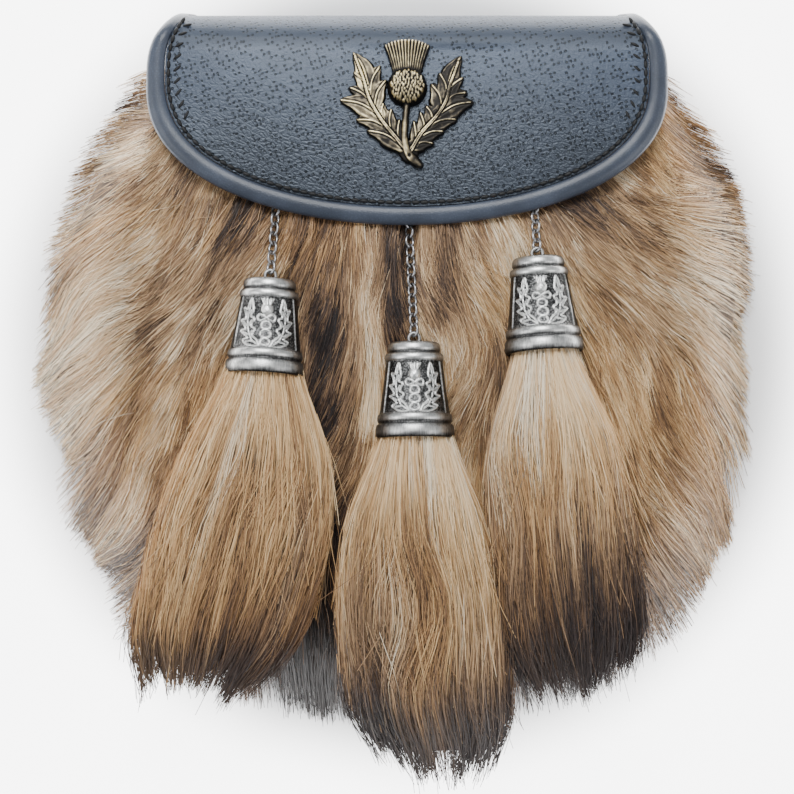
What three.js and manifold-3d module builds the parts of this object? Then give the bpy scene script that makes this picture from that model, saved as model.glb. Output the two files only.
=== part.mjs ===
// A sporran pouch lying on its back: a leather pouch with long fur on its front, a leather flap with a
// brass thistle, and three hair tassels in cast caps on chains.
// Millimetres. +Z is up and is the way the front faces, +Y is towards the top edge, +X is to the right.

import * as THREE from 'three';
import { mergeVertices } from 'three/addons/utils/BufferGeometryUtils.js';
import Module from 'manifold-3d';

const wasm = await Module();
wasm.setup();

// Driving sizes of the pouch body
const pouchWidth = 184;
const pouchHeight = 184.6;
const mouthDrop = 11.4;
const mouthWidth = 150;
const pouchRoom = 18.6;
const panelThickness = 2.2;
const gussetThickness = 1.6;
const frontCrown = 5;
const fitGap = 0.3;

// Driving sizes of the keeper on the back
const keeperWidth = 120;
const keeperHeight = 52;
const keeperThickness = 2;
const keeperTabWidth = 8;
const keeperDrop = 44;
const strapRoom = 5.4;

// Driving sizes of the flap and its rolled edge
const flapWidth = 171;
const flapLength = 70.3;
const flapHingeWidth = 148.8;
const flapThickness = 2;
const flapTailLength = 30;
const flapTurnReach = 11;
const flapHangRoom = 9;
const flapRise = 3.4;
const flapSideDrop = 3;
const flapDeepest = 0.35;
const bindingWidth = 6.2;
const bindingStand = 0.8;

// Driving sizes of the closing stud under the flap
const studDiameter = 12;
const studDrop = 48;

// Driving sizes of the fur
const furRadius = 122;
const furCentreDrop = 112;
const furDepth = 6.5;
const furPressedDepth = 2.4;
const furPressedReach = 52;
const furFullReach = 82;
const rimLockCount = 24;
const rimLockWidth = 30;
const rimLockThickness = 6.5;
const rimLockRoot = 12;
const rimLockLean = 15;
const rimTipHeight = 0.4;
const topLockLength = 46;
const topLockWidth = 36;
const topLockPitch = 34;
const topLockThickness = 7;
const topLockFan = 75;
const furOverhang = 2;
const furRoom = 1;

// Middles of the top locks in each row, as shares of pouchWidth from the middle
const topLockRows = [
  [-0.359, -0.12, 0.12, 0.359],
  [-0.239, 0, 0.239],
  [-0.359, -0.12, 0.12, 0.359],
];

// Reach of the fur from its centre as a share of furRadius, by the turn in degrees from straight down
const furReaches = [
  { turn: -128, share: 1.0 },
  { turn: -105, share: 1.01 },
  { turn: -80, share: 1.0 },
  { turn: -60, share: 0.985 },
  { turn: -42, share: 1.09 },
  { turn: -20, share: 1.0 },
  { turn: 20, share: 1.01 },
  { turn: 40, share: 1.06 },
  { turn: 58, share: 1.01 },
  { turn: 76, share: 0.945 },
  { turn: 96, share: 0.92 },
  { turn: 112, share: 1.0 },
  { turn: 128, share: 1.0 },
];

// Driving sizes of the chains
const linkWidth = 4;
const linkLength = 5.1;
const linkWire = 0.85;
const linkGap = 0.12;
const linkSides = 10;
const wireSides = 5;
const chainStand = 4.3;
const stapleSpan = 3.2;
const stapleBase = 6;
const stapleWire = 0.9;
const staplePlate = 1;
const stapleClearance = 0.4;
const chainRoomHeight = 30;

// Driving sizes of the tassel caps
const capHeight = 31.4;
const capMouthRadius = 13.1;
const capWall = 1.2;
const capSides = 12;
const capSink = 6.5;
const capLoopRadius = 1.75;
const capLoopWire = 1.1;
const reliefHeight = 0.7;
const reliefBulbRadius = 2.1;
const reliefCrownHeight = 2.4;
const reliefRoot = 0.4;

// A leaf on a cap: how far down it as a share of capHeight, then its middle's distance round from the front
// and half its width as shares of capMouthRadius
const reliefLeaf = [
  { down: 0.7, side: 0, wide: 0.015 },
  { down: 0.64, side: 0.168, wide: 0.115 },
  { down: 0.58, side: 0.26, wide: 0.069 },
  { down: 0.5, side: 0.351, wide: 0.137 },
  { down: 0.43, side: 0.382, wide: 0.069 },
  { down: 0.36, side: 0.412, wide: 0.107 },
  { down: 0.28, side: 0.397, wide: 0.015 },
];

// Outside of a cap: how far down it and how wide, as shares of capHeight and capMouthRadius
const capProfile = [
  { down: 0, wide: 0 },
  { down: 0, wide: 0.585 },
  { down: 0.09, wide: 0.635 },
  { down: 0.12, wide: 0.755 },
  { down: 0.18, wide: 0.77 },
  { down: 0.2, wide: 0.725 },
  { down: 0.74, wide: 0.905 },
  { down: 0.77, wide: 0.97 },
  { down: 0.85, wide: 0.96 },
  { down: 0.88, wide: 1 },
  { down: 1, wide: 0.99 },
];

// Driving sizes of the hair in the tassels
const hairLength = 113;
const hairWidth = 61;
const hairThickness = 23;
const hairHeadLength = 3;
const hairMouthGap = 0.7;
const hairLockCount = 7;
const hairLockSides = 5;
const hairCoreShare = 0.58;
const envelopeSides = 12;
const envelopeGap = 0.9;

// The three tassels. The top of a cap lies at shares of pouchWidth across and of pouchHeight down. The size
// and drift of its hair are shares of hairLength, hairWidth and hairThickness, and its fall is of hairLength.
const tassels = [
  {
    side: 'left', capAcross: -0.243, capDown: 0.4773, lean: -3.6, links: 8, chainLean: 4.3,
    long: 0.938, wide: 1, thick: 1, drift: -0.279, fall: 0.195,
  },
  {
    side: 'middle', capAcross: 0.0125, capDown: 0.5883, lean: 0.4, links: 12, chainLean: -2.7,
    long: 1, wide: 0.967, thick: 1, drift: 0.115, fall: 0.354,
  },
  {
    side: 'right', capAcross: 0.2315, capDown: 0.4382, lean: 3.9, links: 6, chainLean: -2.6,
    long: 0.991, wide: 0.836, thick: 0.957, drift: 0.082, fall: 0.195,
  },
];

// Spread of a tassel: shares of its length, of half its width and thickness, and of its fall
const hairRings = [
  { along: 0, wide: 0.4, thick: 0.94, fall: 0 },
  { along: 0.14, wide: 0.62, thick: 0.98, fall: 0.02 },
  { along: 0.36, wide: 0.92, thick: 1, fall: 0.1 },
  { along: 0.68, wide: 1, thick: 0.86, fall: 0.4 },
  { along: 1, wide: 0.72, thick: 0.3, fall: 1 },
];

// A lock of a tassel: where its sections are along it, and how full each is
const hairLockRows = [
  { along: 0.02, full: 1 },
  { along: 0.3, full: 1 },
  { along: 0.62, full: 1 },
  { along: 0.84, full: 0.72 },
];

// Driving sizes of the thistle badge
const badgeDrop = 28.4;
const badgeThickness = 1.2;
const badgeRidge = 2.6;
const bulbRadius = 6.4;
const bulbHeight = 5.2;
const bulbRise = 4.9;
const scaleRadius = 1.7;
const scaleHeight = 1.4;
const crownWidth = 16.5;
const crownFoot = 11;
const crownFlutes = 7;
const crownTop = 20.3;
const crownArch = 1.6;
const stemWidth = 2.4;
const stemLength = 20.4;
const leafReach = 17.6;
const leafToothLength = 9.2;

// Midrib of the badge's right leaf, from the foot of the stem to the leaf's tip, as shares of leafReach
const leafRib = [
  { x: 0.102, y: -1 },
  { x: 0.284, y: -0.716 },
  { x: 0.602, y: -0.261 },
  { x: 0.761, y: 0.227 },
  { x: 1, y: 0.886 },
];

// Edge of a leaf along its midrib: how far out on each side, and forward, as shares of leafToothLength
const leafTeeth = [
  { along: 0, outer: 0.109, inner: 0.065, forward: 0 },
  { along: 0.12, outer: 0.391, inner: 0.174, forward: 0.163 },
  { along: 0.17, outer: 0.174, inner: 0.109, forward: 0 },
  { along: 0.3, outer: 0.696, inner: 0.37, forward: 0.217 },
  { along: 0.36, outer: 0.239, inner: 0.174, forward: 0 },
  { along: 0.52, outer: 1, inner: 0.457, forward: 0.326 },
  { along: 0.58, outer: 0.261, inner: 0.163, forward: 0 },
  { along: 0.7, outer: 0.696, inner: 0.5, forward: 0.326 },
  { along: 0.76, outer: 0.174, inner: 0.13, forward: 0 },
  { along: 0.86, outer: 0.391, inner: 0.348, forward: 0.283 },
  { along: 0.92, outer: 0.098, inner: 0.087, forward: 0 },
  { along: 1, outer: 0.011, inner: 0.011, forward: 0 },
];

// Stem of the badge, from inside the bulb to its foot: places as shares of stemLength, widths of stemWidth
const stemRows = [
  { x: -0.015, y: 0.05, wide: 1 },
  { x: -0.03, y: -0.441, wide: 0.9 },
  { x: 0.02, y: -0.735, wide: 0.9 },
  { x: 0.157, y: -1, wide: 1.1 },
];

// Heights of the layers, from the surface that the pouch lies on
const backUnder = keeperThickness + strapRoom;
const backTop = backUnder + panelThickness;
const frontUnder = backTop + pouchRoom;
const frontTop = frontUnder + panelThickness;
const flapTailUnder = backUnder - fitGap - flapThickness;
const flapFrontUnder = frontTop + flapHangRoom;

function clamp(value, low, high) {
  return Math.min(high, Math.max(low, value));
}

function mix(from, to, share) {
  return from + (to - from) * share;
}

function smooth(share) {
  const s = clamp(share, 0, 1);
  return s * s * (3 - 2 * s);
}

function radians(degrees) {
  return THREE.MathUtils.degToRad(degrees);
}

// Geometry from points and triangles, turned inside out where its faces point inwards
function body(points, triangles) {
  let volume = 0;
  const cross = new THREE.Vector3();
  for (const [a, b, c] of triangles) {
    volume += points[a].dot(cross.crossVectors(points[b], points[c]));
  }
  const index = volume < 0 ? triangles.flatMap(([a, b, c]) => [a, c, b]) : triangles.flat();
  const geometry = new THREE.BufferGeometry();
  const positions = points.flatMap((point) => [point.x, point.y, point.z]);
  geometry.setAttribute('position', new THREE.Float32BufferAttribute(positions, 3));
  geometry.setIndex(index);
  return geometry;
}

// A closed solid through rings of points, with a flat cap at each end or a single point as its tip
function loft(rings) {
  const points = rings.flat();
  const triangles = [];
  const starts = [];
  let count = 0;
  for (const ring of rings) {
    starts.push(count);
    count += ring.length;
  }
  for (let r = 0; r + 1 < rings.length; r += 1) {
    const low = rings[r].length;
    const high = rings[r + 1].length;
    const sides = Math.max(low, high);
    for (let i = 0; i < sides; i += 1) {
      const j = (i + 1) % sides;
      if (low > 1) triangles.push([starts[r] + i, starts[r] + j, starts[r + 1] + (high > 1 ? i : 0)]);
      if (high > 1) triangles.push([starts[r] + (low > 1 ? j : 0), starts[r + 1] + j, starts[r + 1] + i]);
    }
  }
  const last = rings.length - 1;
  for (let i = 1; i + 1 < rings[0].length; i += 1) {
    triangles.push([starts[0], starts[0] + i + 1, starts[0] + i]);
  }
  for (let i = 1; i + 1 < rings[last].length; i += 1) {
    triangles.push([starts[last], starts[last] + i, starts[last] + i + 1]);
  }
  return body(points, triangles);
}

// A sheet over an outline, from rings that shrink to its centre, between an upper and a lower height
function sheet(outline, centre, scales, upper, lower) {
  const count = outline.length;
  const points = [];
  const triangles = [];
  for (const height of [upper, lower]) {
    for (const scale of scales) {
      for (const spot of outline) {
        const x = mix(centre.x, spot.x, scale);
        const y = mix(centre.y, spot.y, scale);
        points.push(new THREE.Vector3(x, y, height(x, y)));
      }
    }
    points.push(new THREE.Vector3(centre.x, centre.y, height(centre.x, centre.y)));
  }
  const layer = count * scales.length + 1;
  for (let side = 0; side < 2; side += 1) {
    const base = side * layer;
    const add = (a, b, c) => triangles.push(side === 0 ? [a, b, c] : [a, c, b]);
    for (let r = 0; r < scales.length; r += 1) {
      for (let i = 0; i < count; i += 1) {
        const j = (i + 1) % count;
        const outer = base + r * count;
        if (r + 1 === scales.length) {
          add(outer + i, outer + j, base + layer - 1);
        } else {
          add(outer + i, outer + j, outer + count + i);
          add(outer + j, outer + count + j, outer + count + i);
        }
      }
    }
  }
  for (let i = 0; i < count; i += 1) {
    const j = (i + 1) % count;
    triangles.push([i, layer + i, j]);
    triangles.push([j, layer + i, layer + j]);
  }
  return body(points, triangles);
}

// A solid for cutting and joining, from any closed geometry
function solid(geometry, matrix) {
  const bare = geometry.clone();
  bare.deleteAttribute('normal');
  bare.deleteAttribute('uv');
  if (matrix) bare.applyMatrix4(matrix);
  const merged = mergeVertices(bare, 1e-4);
  const vertProperties = new Float32Array(merged.attributes.position.array);
  const triVerts = new Uint32Array(merged.index.array);
  return new wasm.Manifold(new wasm.Mesh({ numProp: 3, vertProperties, triVerts }));
}

function joined(solids) {
  return solids.reduce((whole, next) => whole.add(next));
}

function surface(manifold) {
  const mesh = manifold.getMesh();
  const geometry = new THREE.BufferGeometry();
  geometry.setAttribute('position', new THREE.BufferAttribute(mesh.vertProperties, 3));
  geometry.setIndex(new THREE.BufferAttribute(mesh.triVerts, 1));
  return geometry;
}

function piece(name, geometry, colour, roughness, metalness) {
  const material = new THREE.MeshStandardMaterial({ color: colour, roughness, metalness });
  const mesh = new THREE.Mesh(geometry, material);
  mesh.name = name;
  return mesh;
}

// Outline of the pouch body, grown by a margin: from the right end of the mouth round to its left end
const outlineCurve = 2.4;
const sideSteps = 3;
const bottomSteps = 14;

function bodyOutline(margin) {
  const half = pouchWidth / 2 + margin;
  const mouthHalf = mouthWidth / 2 + margin;
  const widest = pouchHeight / 2;
  const deep = pouchHeight - widest + margin;
  const right = [];
  for (let i = 0; i < sideSteps; i += 1) {
    const share = i / sideSteps;
    const x = half - (half - mouthHalf) * (1 - share) ** 2;
    right.push(new THREE.Vector2(x, -mouthDrop - widest * share));
  }
  const bottom = [];
  for (let i = 0; i <= bottomSteps; i += 1) {
    const angle = (Math.PI * i) / bottomSteps;
    const across = Math.sign(Math.cos(angle)) * Math.abs(Math.cos(angle)) ** (2 / outlineCurve);
    const down = Math.abs(Math.sin(angle)) ** (2 / outlineCurve);
    bottom.push(new THREE.Vector2(half * across, -mouthDrop - widest - deep * down));
  }
  const left = right.map((spot) => new THREE.Vector2(-spot.x, spot.y)).reverse();
  return [...right, ...bottom, ...left];
}

// The front bulges: highest in the middle, level with its rim at the edges
function frontHeight(x, y) {
  const across = 1 - ((2 * x) / pouchWidth) ** 2;
  const down = clamp((-y - mouthDrop) / pouchHeight, 0, 1);
  return frontTop + frontCrown * Math.max(0, across) * 4 * down * (1 - down);
}

// Top of the dense fur, which the flap presses flat towards the mouth
function furTop(x, y) {
  const free = smooth((-y - furPressedReach) / (furFullReach - furPressedReach));
  return frontHeight(x, y) + fitGap + mix(furPressedDepth, furDepth, free);
}

const bodyCentre = new THREE.Vector2(0, -mouthDrop - pouchHeight / 2);
const domeScales = [1, 0.68, 0.34];

function makeBackPanel() {
  const shape = new THREE.Shape(bodyOutline(0));
  const geometry = new THREE.ExtrudeGeometry(shape, { depth: panelThickness, bevelEnabled: false });
  geometry.translate(0, 0, backUnder);
  return piece('back_panel', geometry, 0x23252b, 0.6, 0);
}

function makeGusset() {
  const outer = bodyOutline(0);
  const inner = bodyOutline(-gussetThickness).reverse();
  const shape = new THREE.Shape([...outer, ...inner]);
  const depth = pouchRoom - 2 * fitGap;
  const geometry = new THREE.ExtrudeGeometry(shape, { depth, bevelEnabled: false });
  geometry.translate(0, 0, backTop + fitGap);
  return piece('gusset', geometry, 0x2a2c33, 0.62, 0);
}

function makeFrontPanel() {
  const lower = (x, y) => frontHeight(x, y) - panelThickness;
  const geometry = sheet(bodyOutline(0), bodyCentre, domeScales, frontHeight, lower);
  return piece('front_panel', geometry, 0x23252b, 0.6, 0);
}

// The keeper is one strip sewn down along its top and bottom, with room for a strap to run behind it
function makeKeeper() {
  const half = keeperHeight / 2;
  const tab = half - keeperTabWidth;
  const top = backUnder - fitGap;
  const low = top - keeperThickness;
  const section = [
    [-half, top], [-half, low], [-tab - keeperThickness, 0], [tab + keeperThickness, 0],
    [half, low], [half, top], [tab, top], [tab, keeperThickness], [-tab, keeperThickness], [-tab, top],
  ];
  const shape = new THREE.Shape(section.map(([y, z]) => new THREE.Vector2(y, z)));
  const geometry = new THREE.ExtrudeGeometry(shape, { depth: keeperWidth, bevelEnabled: false });
  const turn = new THREE.Matrix4().makeBasis(
    new THREE.Vector3(0, 1, 0),
    new THREE.Vector3(0, 0, 1),
    new THREE.Vector3(1, 0, 0),
  );
  geometry.applyMatrix4(turn);
  geometry.translate(-keeperWidth / 2, -keeperDrop - half, 0);
  return piece('belt_loop', geometry, 0x23252b, 0.55, 0);
}

// A spot on the flap. Stations run -2 to -1 up the tail on the back, -1 to 0 round the top, and 0 to 1 down
// the front. The inset is how far in from the outer edge the outline is, and lift is the way outwards.
function flapSpot(station, inset, across, lift) {
  const length = flapLength - inset;
  const half = flapWidth / 2 - inset;
  const hinge = flapHingeWidth / flapWidth;
  const under = flapTailUnder + flapThickness;
  const centreZ = (under + flapFrontUnder) / 2;
  const halfDepth = (flapFrontUnder - under) / 2;
  let y = -flapTurnReach;
  let z = under;
  let outY = 0;
  let outZ = -1;
  if (station < -1) {
    y = mix(-flapTailLength, -flapTurnReach, station + 2);
  } else if (station < 0) {
    const angle = Math.PI * (station + 0.5);
    const reach = flapTurnReach - flapThickness;
    y = -flapTurnReach + reach * Math.cos(angle);
    z = centreZ + halfDepth * Math.sin(angle);
    outY = Math.cos(angle);
    outZ = Math.sin(angle);
  } else {
    y = mix(-flapTurnReach, -length, station);
    z = flapFrontUnder + flapRise * (1 - (1 - station) ** 2);
    outZ = 1;
  }
  const down = station > -0.5 ? clamp(-y / length, 0, 1) : 0;
  let share = 1 - (1 - hinge) * (clamp(flapDeepest - down, 0, 1) / flapDeepest) ** 3.5;
  if (down > flapDeepest) {
    share = Math.sqrt(1 - ((down - flapDeepest) / (1 - flapDeepest)) ** 2.3);
  }
  const x = half * share * across;
  const drop = flapSideDrop * (x / half) ** 2 * smooth(station + 0.5);
  return new THREE.Vector3(x, y + outY * lift, z + outZ * lift - drop);
}

const flapStations = [
  -2, -1, -0.8, -0.6, -0.4, -0.2, 0, 0.14, 0.3, 0.46, 0.6, 0.72, 0.81, 0.88, 0.935, 0.975,
];
const flapColumns = [-1, -0.6, -0.2, 0.2, 0.6, 1];

function makeFlap() {
  const rings = flapStations.map((station) => {
    const outside = flapColumns.map((c) => flapSpot(station, bindingWidth, c, flapThickness));
    const inside = flapColumns.map((c) => flapSpot(station, bindingWidth, c, 0)).reverse();
    return [...outside, ...inside];
  });
  return piece('flap', loft(rings), 0x3c424e, 0.5, 0);
}

// Section of the rolled edge: across it as a share of its width, and its lift from the flap's inside
const bindingSection = [
  { across: 0, lift: flapThickness },
  { across: 0.35, lift: flapThickness + bindingStand },
  { across: 0.8, lift: flapThickness + bindingStand * 0.4 },
  { across: 1, lift: flapThickness * 0.5 },
  { across: 0.8, lift: -bindingStand * 0.3 },
  { across: 0, lift: 0 },
];

function makeBinding() {
  const ringAt = (station, sign) => bindingSection.map(({ across, lift }) => {
    const inner = flapSpot(station, bindingWidth, sign, lift);
    const outer = flapSpot(station, 0, sign, lift);
    const width = inner.distanceTo(outer);
    return inner.lerp(outer, mix(fitGap / width, 1, across));
  });
  const right = flapStations.map((station) => ringAt(station, 1));
  const left = flapStations.map((station) => ringAt(station, -1)).reverse();
  return piece('flap_binding', loft([...right, ...left]), 0x4a525f, 0.42, 0);
}

// The stud stands on the front panel through the pressed fur and meets the flap's inside
function makeStud() {
  const low = frontHeight(0, -studDrop) + fitGap;
  const station = (studDrop - flapTurnReach) / (flapLength - bindingWidth - flapTurnReach);
  const high = flapSpot(station, bindingWidth, flapColumns[3], 0).z - fitGap;
  const geometry = new THREE.CylinderGeometry(studDiameter / 2, studDiameter / 2, high - low, 12);
  geometry.rotateX(Math.PI / 2);
  geometry.translate(0, -studDrop, (low + high) / 2);
  return piece('closing_stud', geometry, 0x8f8a7c, 0.4, 1);
}

// Each cap has its own frame: its top at the origin, its mouth down -Y, its front up +Z
function capRadius(down) {
  const next = capProfile.findIndex((row, i) => i > 1 && row.down >= down);
  const from = capProfile[next - 1];
  const to = capProfile[next];
  const share = (down - from.down) / (to.down - from.down || 1);
  return mix(from.wide, to.wide, share) * capMouthRadius;
}

function capFrame(tassel) {
  const group = new THREE.Group();
  const topX = tassel.capAcross * pouchWidth;
  const topY = -tassel.capDown * pouchHeight;
  const lean = radians(tassel.lean);
  const footX = topX + capHeight * Math.sin(lean);
  const footY = topY - capHeight * Math.cos(lean);
  const topZ = furTop(topX, topY) + capRadius(0.15) - capSink;
  const footZ = furTop(footX, footY) + capMouthRadius - capSink;
  group.position.set(topX, topY, topZ);
  group.rotation.order = 'ZXY';
  group.rotation.z = lean;
  group.rotation.x = -Math.asin((footZ - topZ) / capHeight);
  group.updateMatrixWorld(true);
  return group;
}

function capLathe(grow) {
  const outer = capProfile.map(({ down, wide }) => {
    const shift = (down - 0.5) * 2 * grow;
    return new THREE.Vector2(wide * capMouthRadius + (wide > 0 ? grow : 0), -down * capHeight - shift);
  });
  const floorAt = -capHeight * 0.2;
  const inner = [
    new THREE.Vector2(capMouthRadius - capWall, -capHeight),
    new THREE.Vector2(capRadius(0.2) - capWall, floorAt),
    new THREE.Vector2(0, floorAt),
  ];
  const closing = [new THREE.Vector2(0, -capHeight - grow)];
  const profile = grow > 0 ? [...outer, ...closing] : [...outer, ...inner];
  const geometry = new THREE.LatheGeometry(profile.reverse(), capSides);
  geometry.rotateY(Math.PI / capSides);
  return geometry;
}

// Raised ornament on the front of a cap: a thistle head between two toothed leaves
function capRelief() {
  const seat = (down) => capRadius(down) * Math.cos(Math.PI / capSides) + reliefHeight * 0.4;
  const bulbDown = 0.34;
  const crownDown = 0.25;
  const bulb = new THREE.SphereGeometry(reliefBulbRadius, 6, 4);
  bulb.scale(1, 1.1, 0.5);
  bulb.translate(0, -bulbDown * capHeight, seat(bulbDown));
  const crownRadius = reliefBulbRadius * 1.1;
  const crown = new THREE.CylinderGeometry(crownRadius, crownRadius * 0.52, reliefCrownHeight, 6);
  crown.scale(1, 1, 0.4);
  crown.translate(0, -crownDown * capHeight, seat(crownDown));
  const parts = [solid(bulb), solid(crown)];
  for (const sign of [-1, 1]) {
    const rings = reliefLeaf.map(({ down, side, wide }) => {
      const radius = capRadius(down);
      const spot = (offset, lift) => {
        const angle = ((sign * side + offset) * capMouthRadius) / radius;
        const reach = radius * Math.cos(Math.PI / capSides) + lift;
        return new THREE.Vector3(reach * Math.sin(angle), -down * capHeight, reach * Math.cos(angle));
      };
      return [spot(-wide, -reliefRoot), spot(0, reliefHeight), spot(wide, -reliefRoot)];
    });
    parts.push(solid(loft(rings)));
  }
  return joined(parts);
}

function makeCapSolid() {
  const ring = new THREE.TorusGeometry(capLoopRadius, capLoopWire / 2, wireSides, linkSides);
  ring.translate(0, capLoopRadius * 0.8, 0);
  return joined([solid(capLathe(0)), solid(ring), capRelief()]);
}

// Middle of the wire at the far end of a cap's loop, where the first link hangs
const capLoopReach = capLoopRadius * 1.8;

const linkSpan = linkLength - linkWire;
const linkPitch = linkSpan - linkWire - linkGap;

// A chain runs from the cap's loop up to its staple. Its links turn a quarter from one to the next.
function chainLine(tassel, group) {
  const start = new THREE.Vector3(0, capLoopReach, 0).applyMatrix4(group.matrixWorld);
  const hook = (linkWire + capLoopWire) / 2 + linkGap;
  const stapleHook = linkWire / 2 + stapleWire * 0.6 + linkGap;
  const run = linkSpan + (tassel.links - 1) * linkPitch - hook - stapleHook;
  const lean = radians(tassel.chainLean);
  const flat = new THREE.Vector3(Math.sin(lean), Math.cos(lean), 0);
  const end = start.clone().addScaledVector(flat, run);
  end.z = frontHeight(end.x, end.y) + chainStand;
  const along = end.clone().sub(start).normalize();
  const staple = start.clone().addScaledVector(along, run);
  return { start, along, hook, staple };
}

function makeLinks(tassel, line) {
  const geometry = new THREE.TorusGeometry(1, 1, wireSides, linkSides);
  const spots = geometry.attributes.position;
  const rawRing = new THREE.TorusGeometry(1, 0, wireSides, linkSides).attributes.position;
  for (let i = 0; i < spots.count; i += 1) {
    const ringX = rawRing.getX(i) * (linkWidth - linkWire) / 2;
    const ringY = rawRing.getY(i) * linkSpan / 2;
    const offX = (spots.getX(i) - rawRing.getX(i)) * linkWire / 2;
    const offY = (spots.getY(i) - rawRing.getY(i)) * linkWire / 2;
    spots.setXYZ(i, ringX + offX, ringY + offY, spots.getZ(i) * linkWire / 2);
  }
  geometry.deleteAttribute('normal');
  geometry.deleteAttribute('uv');
  const closed = mergeVertices(geometry, 1e-4);
  const up = new THREE.Vector3(0, 0, 1);
  const side = new THREE.Vector3().crossVectors(line.along, up).normalize();
  const rise = new THREE.Vector3().crossVectors(side, line.along);
  const links = [];
  for (let i = 0; i < tassel.links; i += 1) {
    const travel = linkSpan / 2 - line.hook + i * linkPitch;
    const link = piece(`chain_${tassel.side}_${i + 1}`, closed, 0x8c8c88, 0.35, 1);
    link.position.copy(line.start).addScaledVector(line.along, travel);
    const across = i % 2 === 0 ? rise : side;
    const facing = new THREE.Vector3().crossVectors(across, line.along);
    link.quaternion.setFromRotationMatrix(new THREE.Matrix4().makeBasis(across, line.along, facing));
    links.push(link);
  }
  return links;
}

// A staple is an arch on a small plate that stands on the front panel: the last link hangs on its near leg
function makeStaple(tassel, line) {
  const foot = frontHeight(line.staple.x, line.staple.y) + fitGap;
  const archTop = line.staple.z + linkWire + stapleClearance;
  const arch = new THREE.Shape();
  const near = -stapleWire / 2;
  const far = stapleSpan + stapleWire / 2;
  arch.moveTo(near, foot);
  arch.lineTo(near, archTop);
  arch.lineTo(far, archTop);
  arch.lineTo(far, foot);
  arch.lineTo(far - stapleWire, foot);
  arch.lineTo(far - stapleWire, archTop - stapleWire);
  arch.lineTo(near + stapleWire, archTop - stapleWire);
  arch.lineTo(near + stapleWire, foot);
  const wire = new THREE.ExtrudeGeometry(arch, { depth: stapleWire, bevelEnabled: false });
  const turn = new THREE.Matrix4().makeBasis(
    new THREE.Vector3(0, 1, 0),
    new THREE.Vector3(0, 0, 1),
    new THREE.Vector3(1, 0, 0),
  );
  wire.applyMatrix4(turn);
  wire.translate(line.staple.x - stapleWire / 2, line.staple.y, 0);
  const plate = new THREE.BoxGeometry(stapleBase, stapleBase, staplePlate);
  plate.translate(line.staple.x, line.staple.y + stapleSpan / 2, foot + staplePlate / 2);
  const whole = joined([solid(wire), solid(plate)]);
  return piece(`chain_staple_${tassel.side}`, surface(whole), 0x8c8c88, 0.4, 1);
}

// Middle and half sizes of a tassel's hair in the frame of its cap, at a share of its length
function hairSection(tassel, along) {
  const next = Math.max(1, hairRings.findIndex((row) => row.along >= Math.min(along, 1)));
  const from = hairRings[next - 1];
  const to = hairRings[next];
  const share = (along - from.along) / (to.along - from.along);
  const long = hairLength * tassel.long;
  const wide = (hairWidth * tassel.wide) / 2;
  const thick = (hairThickness * tassel.thick) / 2;
  const drift = tassel.drift * hairWidth * along * along;
  const fall = tassel.fall * hairLength * mix(from.fall, to.fall, share);
  return {
    centre: new THREE.Vector3(drift, -capHeight - long * along, -fall),
    wide: wide * mix(from.wide, to.wide, share),
    thick: thick * mix(from.thick, to.thick, share),
  };
}

function hairEnvelope(tassel) {
  const spread = 1 / Math.cos(Math.PI / envelopeSides);
  const rings = hairRings.map((row) => {
    const { centre, wide, thick } = hairSection(tassel, row.along);
    return Array.from({ length: envelopeSides }, (_, i) => {
      const angle = (2 * Math.PI * i) / envelopeSides;
      const x = centre.x + (wide + envelopeGap) * spread * Math.cos(angle);
      return new THREE.Vector3(x, centre.y, centre.z + (thick + envelopeGap) * spread * Math.sin(angle));
    });
  });
  const end = hairSection(tassel, 1);
  const tip = end.centre.clone();
  tip.x *= 1.05;
  tip.y -= hairLength * tassel.long * 0.12;
  tip.z -= end.thick * 0.6;
  rings.push([tip]);
  return loft(rings);
}

// Locks lie round the core of the tassel and end in points of uneven length, fused to a head in the cap
function makeHairSolid(tassel) {
  const headDown = 0.25;
  const headRadius = capRadius(headDown) - capWall - fitGap;
  const mouthRadius = capMouthRadius - capWall - hairMouthGap;
  const headHeight = capHeight * (1 - headDown) + hairHeadLength;
  const head = new THREE.CylinderGeometry(headRadius, mouthRadius, headHeight, 8);
  head.rotateY(Math.PI / 8);
  head.translate(0, -capHeight * headDown - headHeight / 2, 0);
  const locks = [solid(head)];
  const rest = 1 - hairCoreShare;
  for (let i = 0; i < hairLockCount; i += 1) {
    const angle = (2 * Math.PI * (i + 0.5)) / hairLockCount;
    const reach = 0.9 + 0.1 * Math.sin(5 * i + 1);
    const rings = hairLockRows.map(({ along, full }) => {
      const { centre, wide, thick } = hairSection(tassel, along * reach);
      const x = centre.x + wide * hairCoreShare * Math.cos(angle);
      const z = centre.z + thick * hairCoreShare * Math.sin(angle);
      return Array.from({ length: hairLockSides }, (_, k) => {
        const turn = angle + (2 * Math.PI * k) / hairLockSides;
        const across = wide * rest * full * Math.cos(turn);
        return new THREE.Vector3(x + across, centre.y, z + thick * rest * full * Math.sin(turn));
      });
    });
    const end = hairSection(tassel, reach);
    const tipX = end.centre.x + end.wide * 0.68 * Math.cos(angle);
    const tipZ = end.centre.z + end.thick * 0.6 * Math.sin(angle);
    rings.push([new THREE.Vector3(tipX, end.centre.y, tipZ)]);
    locks.push(solid(loft(rings)));
  }
  return joined(locks);
}

// Reach of the fur in a direction, by its turn in degrees from straight down
function furReach(turn) {
  const at = clamp(turn, furReaches[0].turn, furReaches[furReaches.length - 1].turn);
  const next = Math.max(1, furReaches.findIndex((row) => row.turn >= at));
  const from = furReaches[next - 1];
  const to = furReaches[next];
  return furRadius * mix(from.share, to.share, (at - from.turn) / (to.turn - from.turn));
}

function fromFurCentre(turn, radius) {
  const angle = radians(turn);
  return new THREE.Vector2(radius * Math.sin(angle), -furCentreDrop - radius * Math.cos(angle));
}

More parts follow.
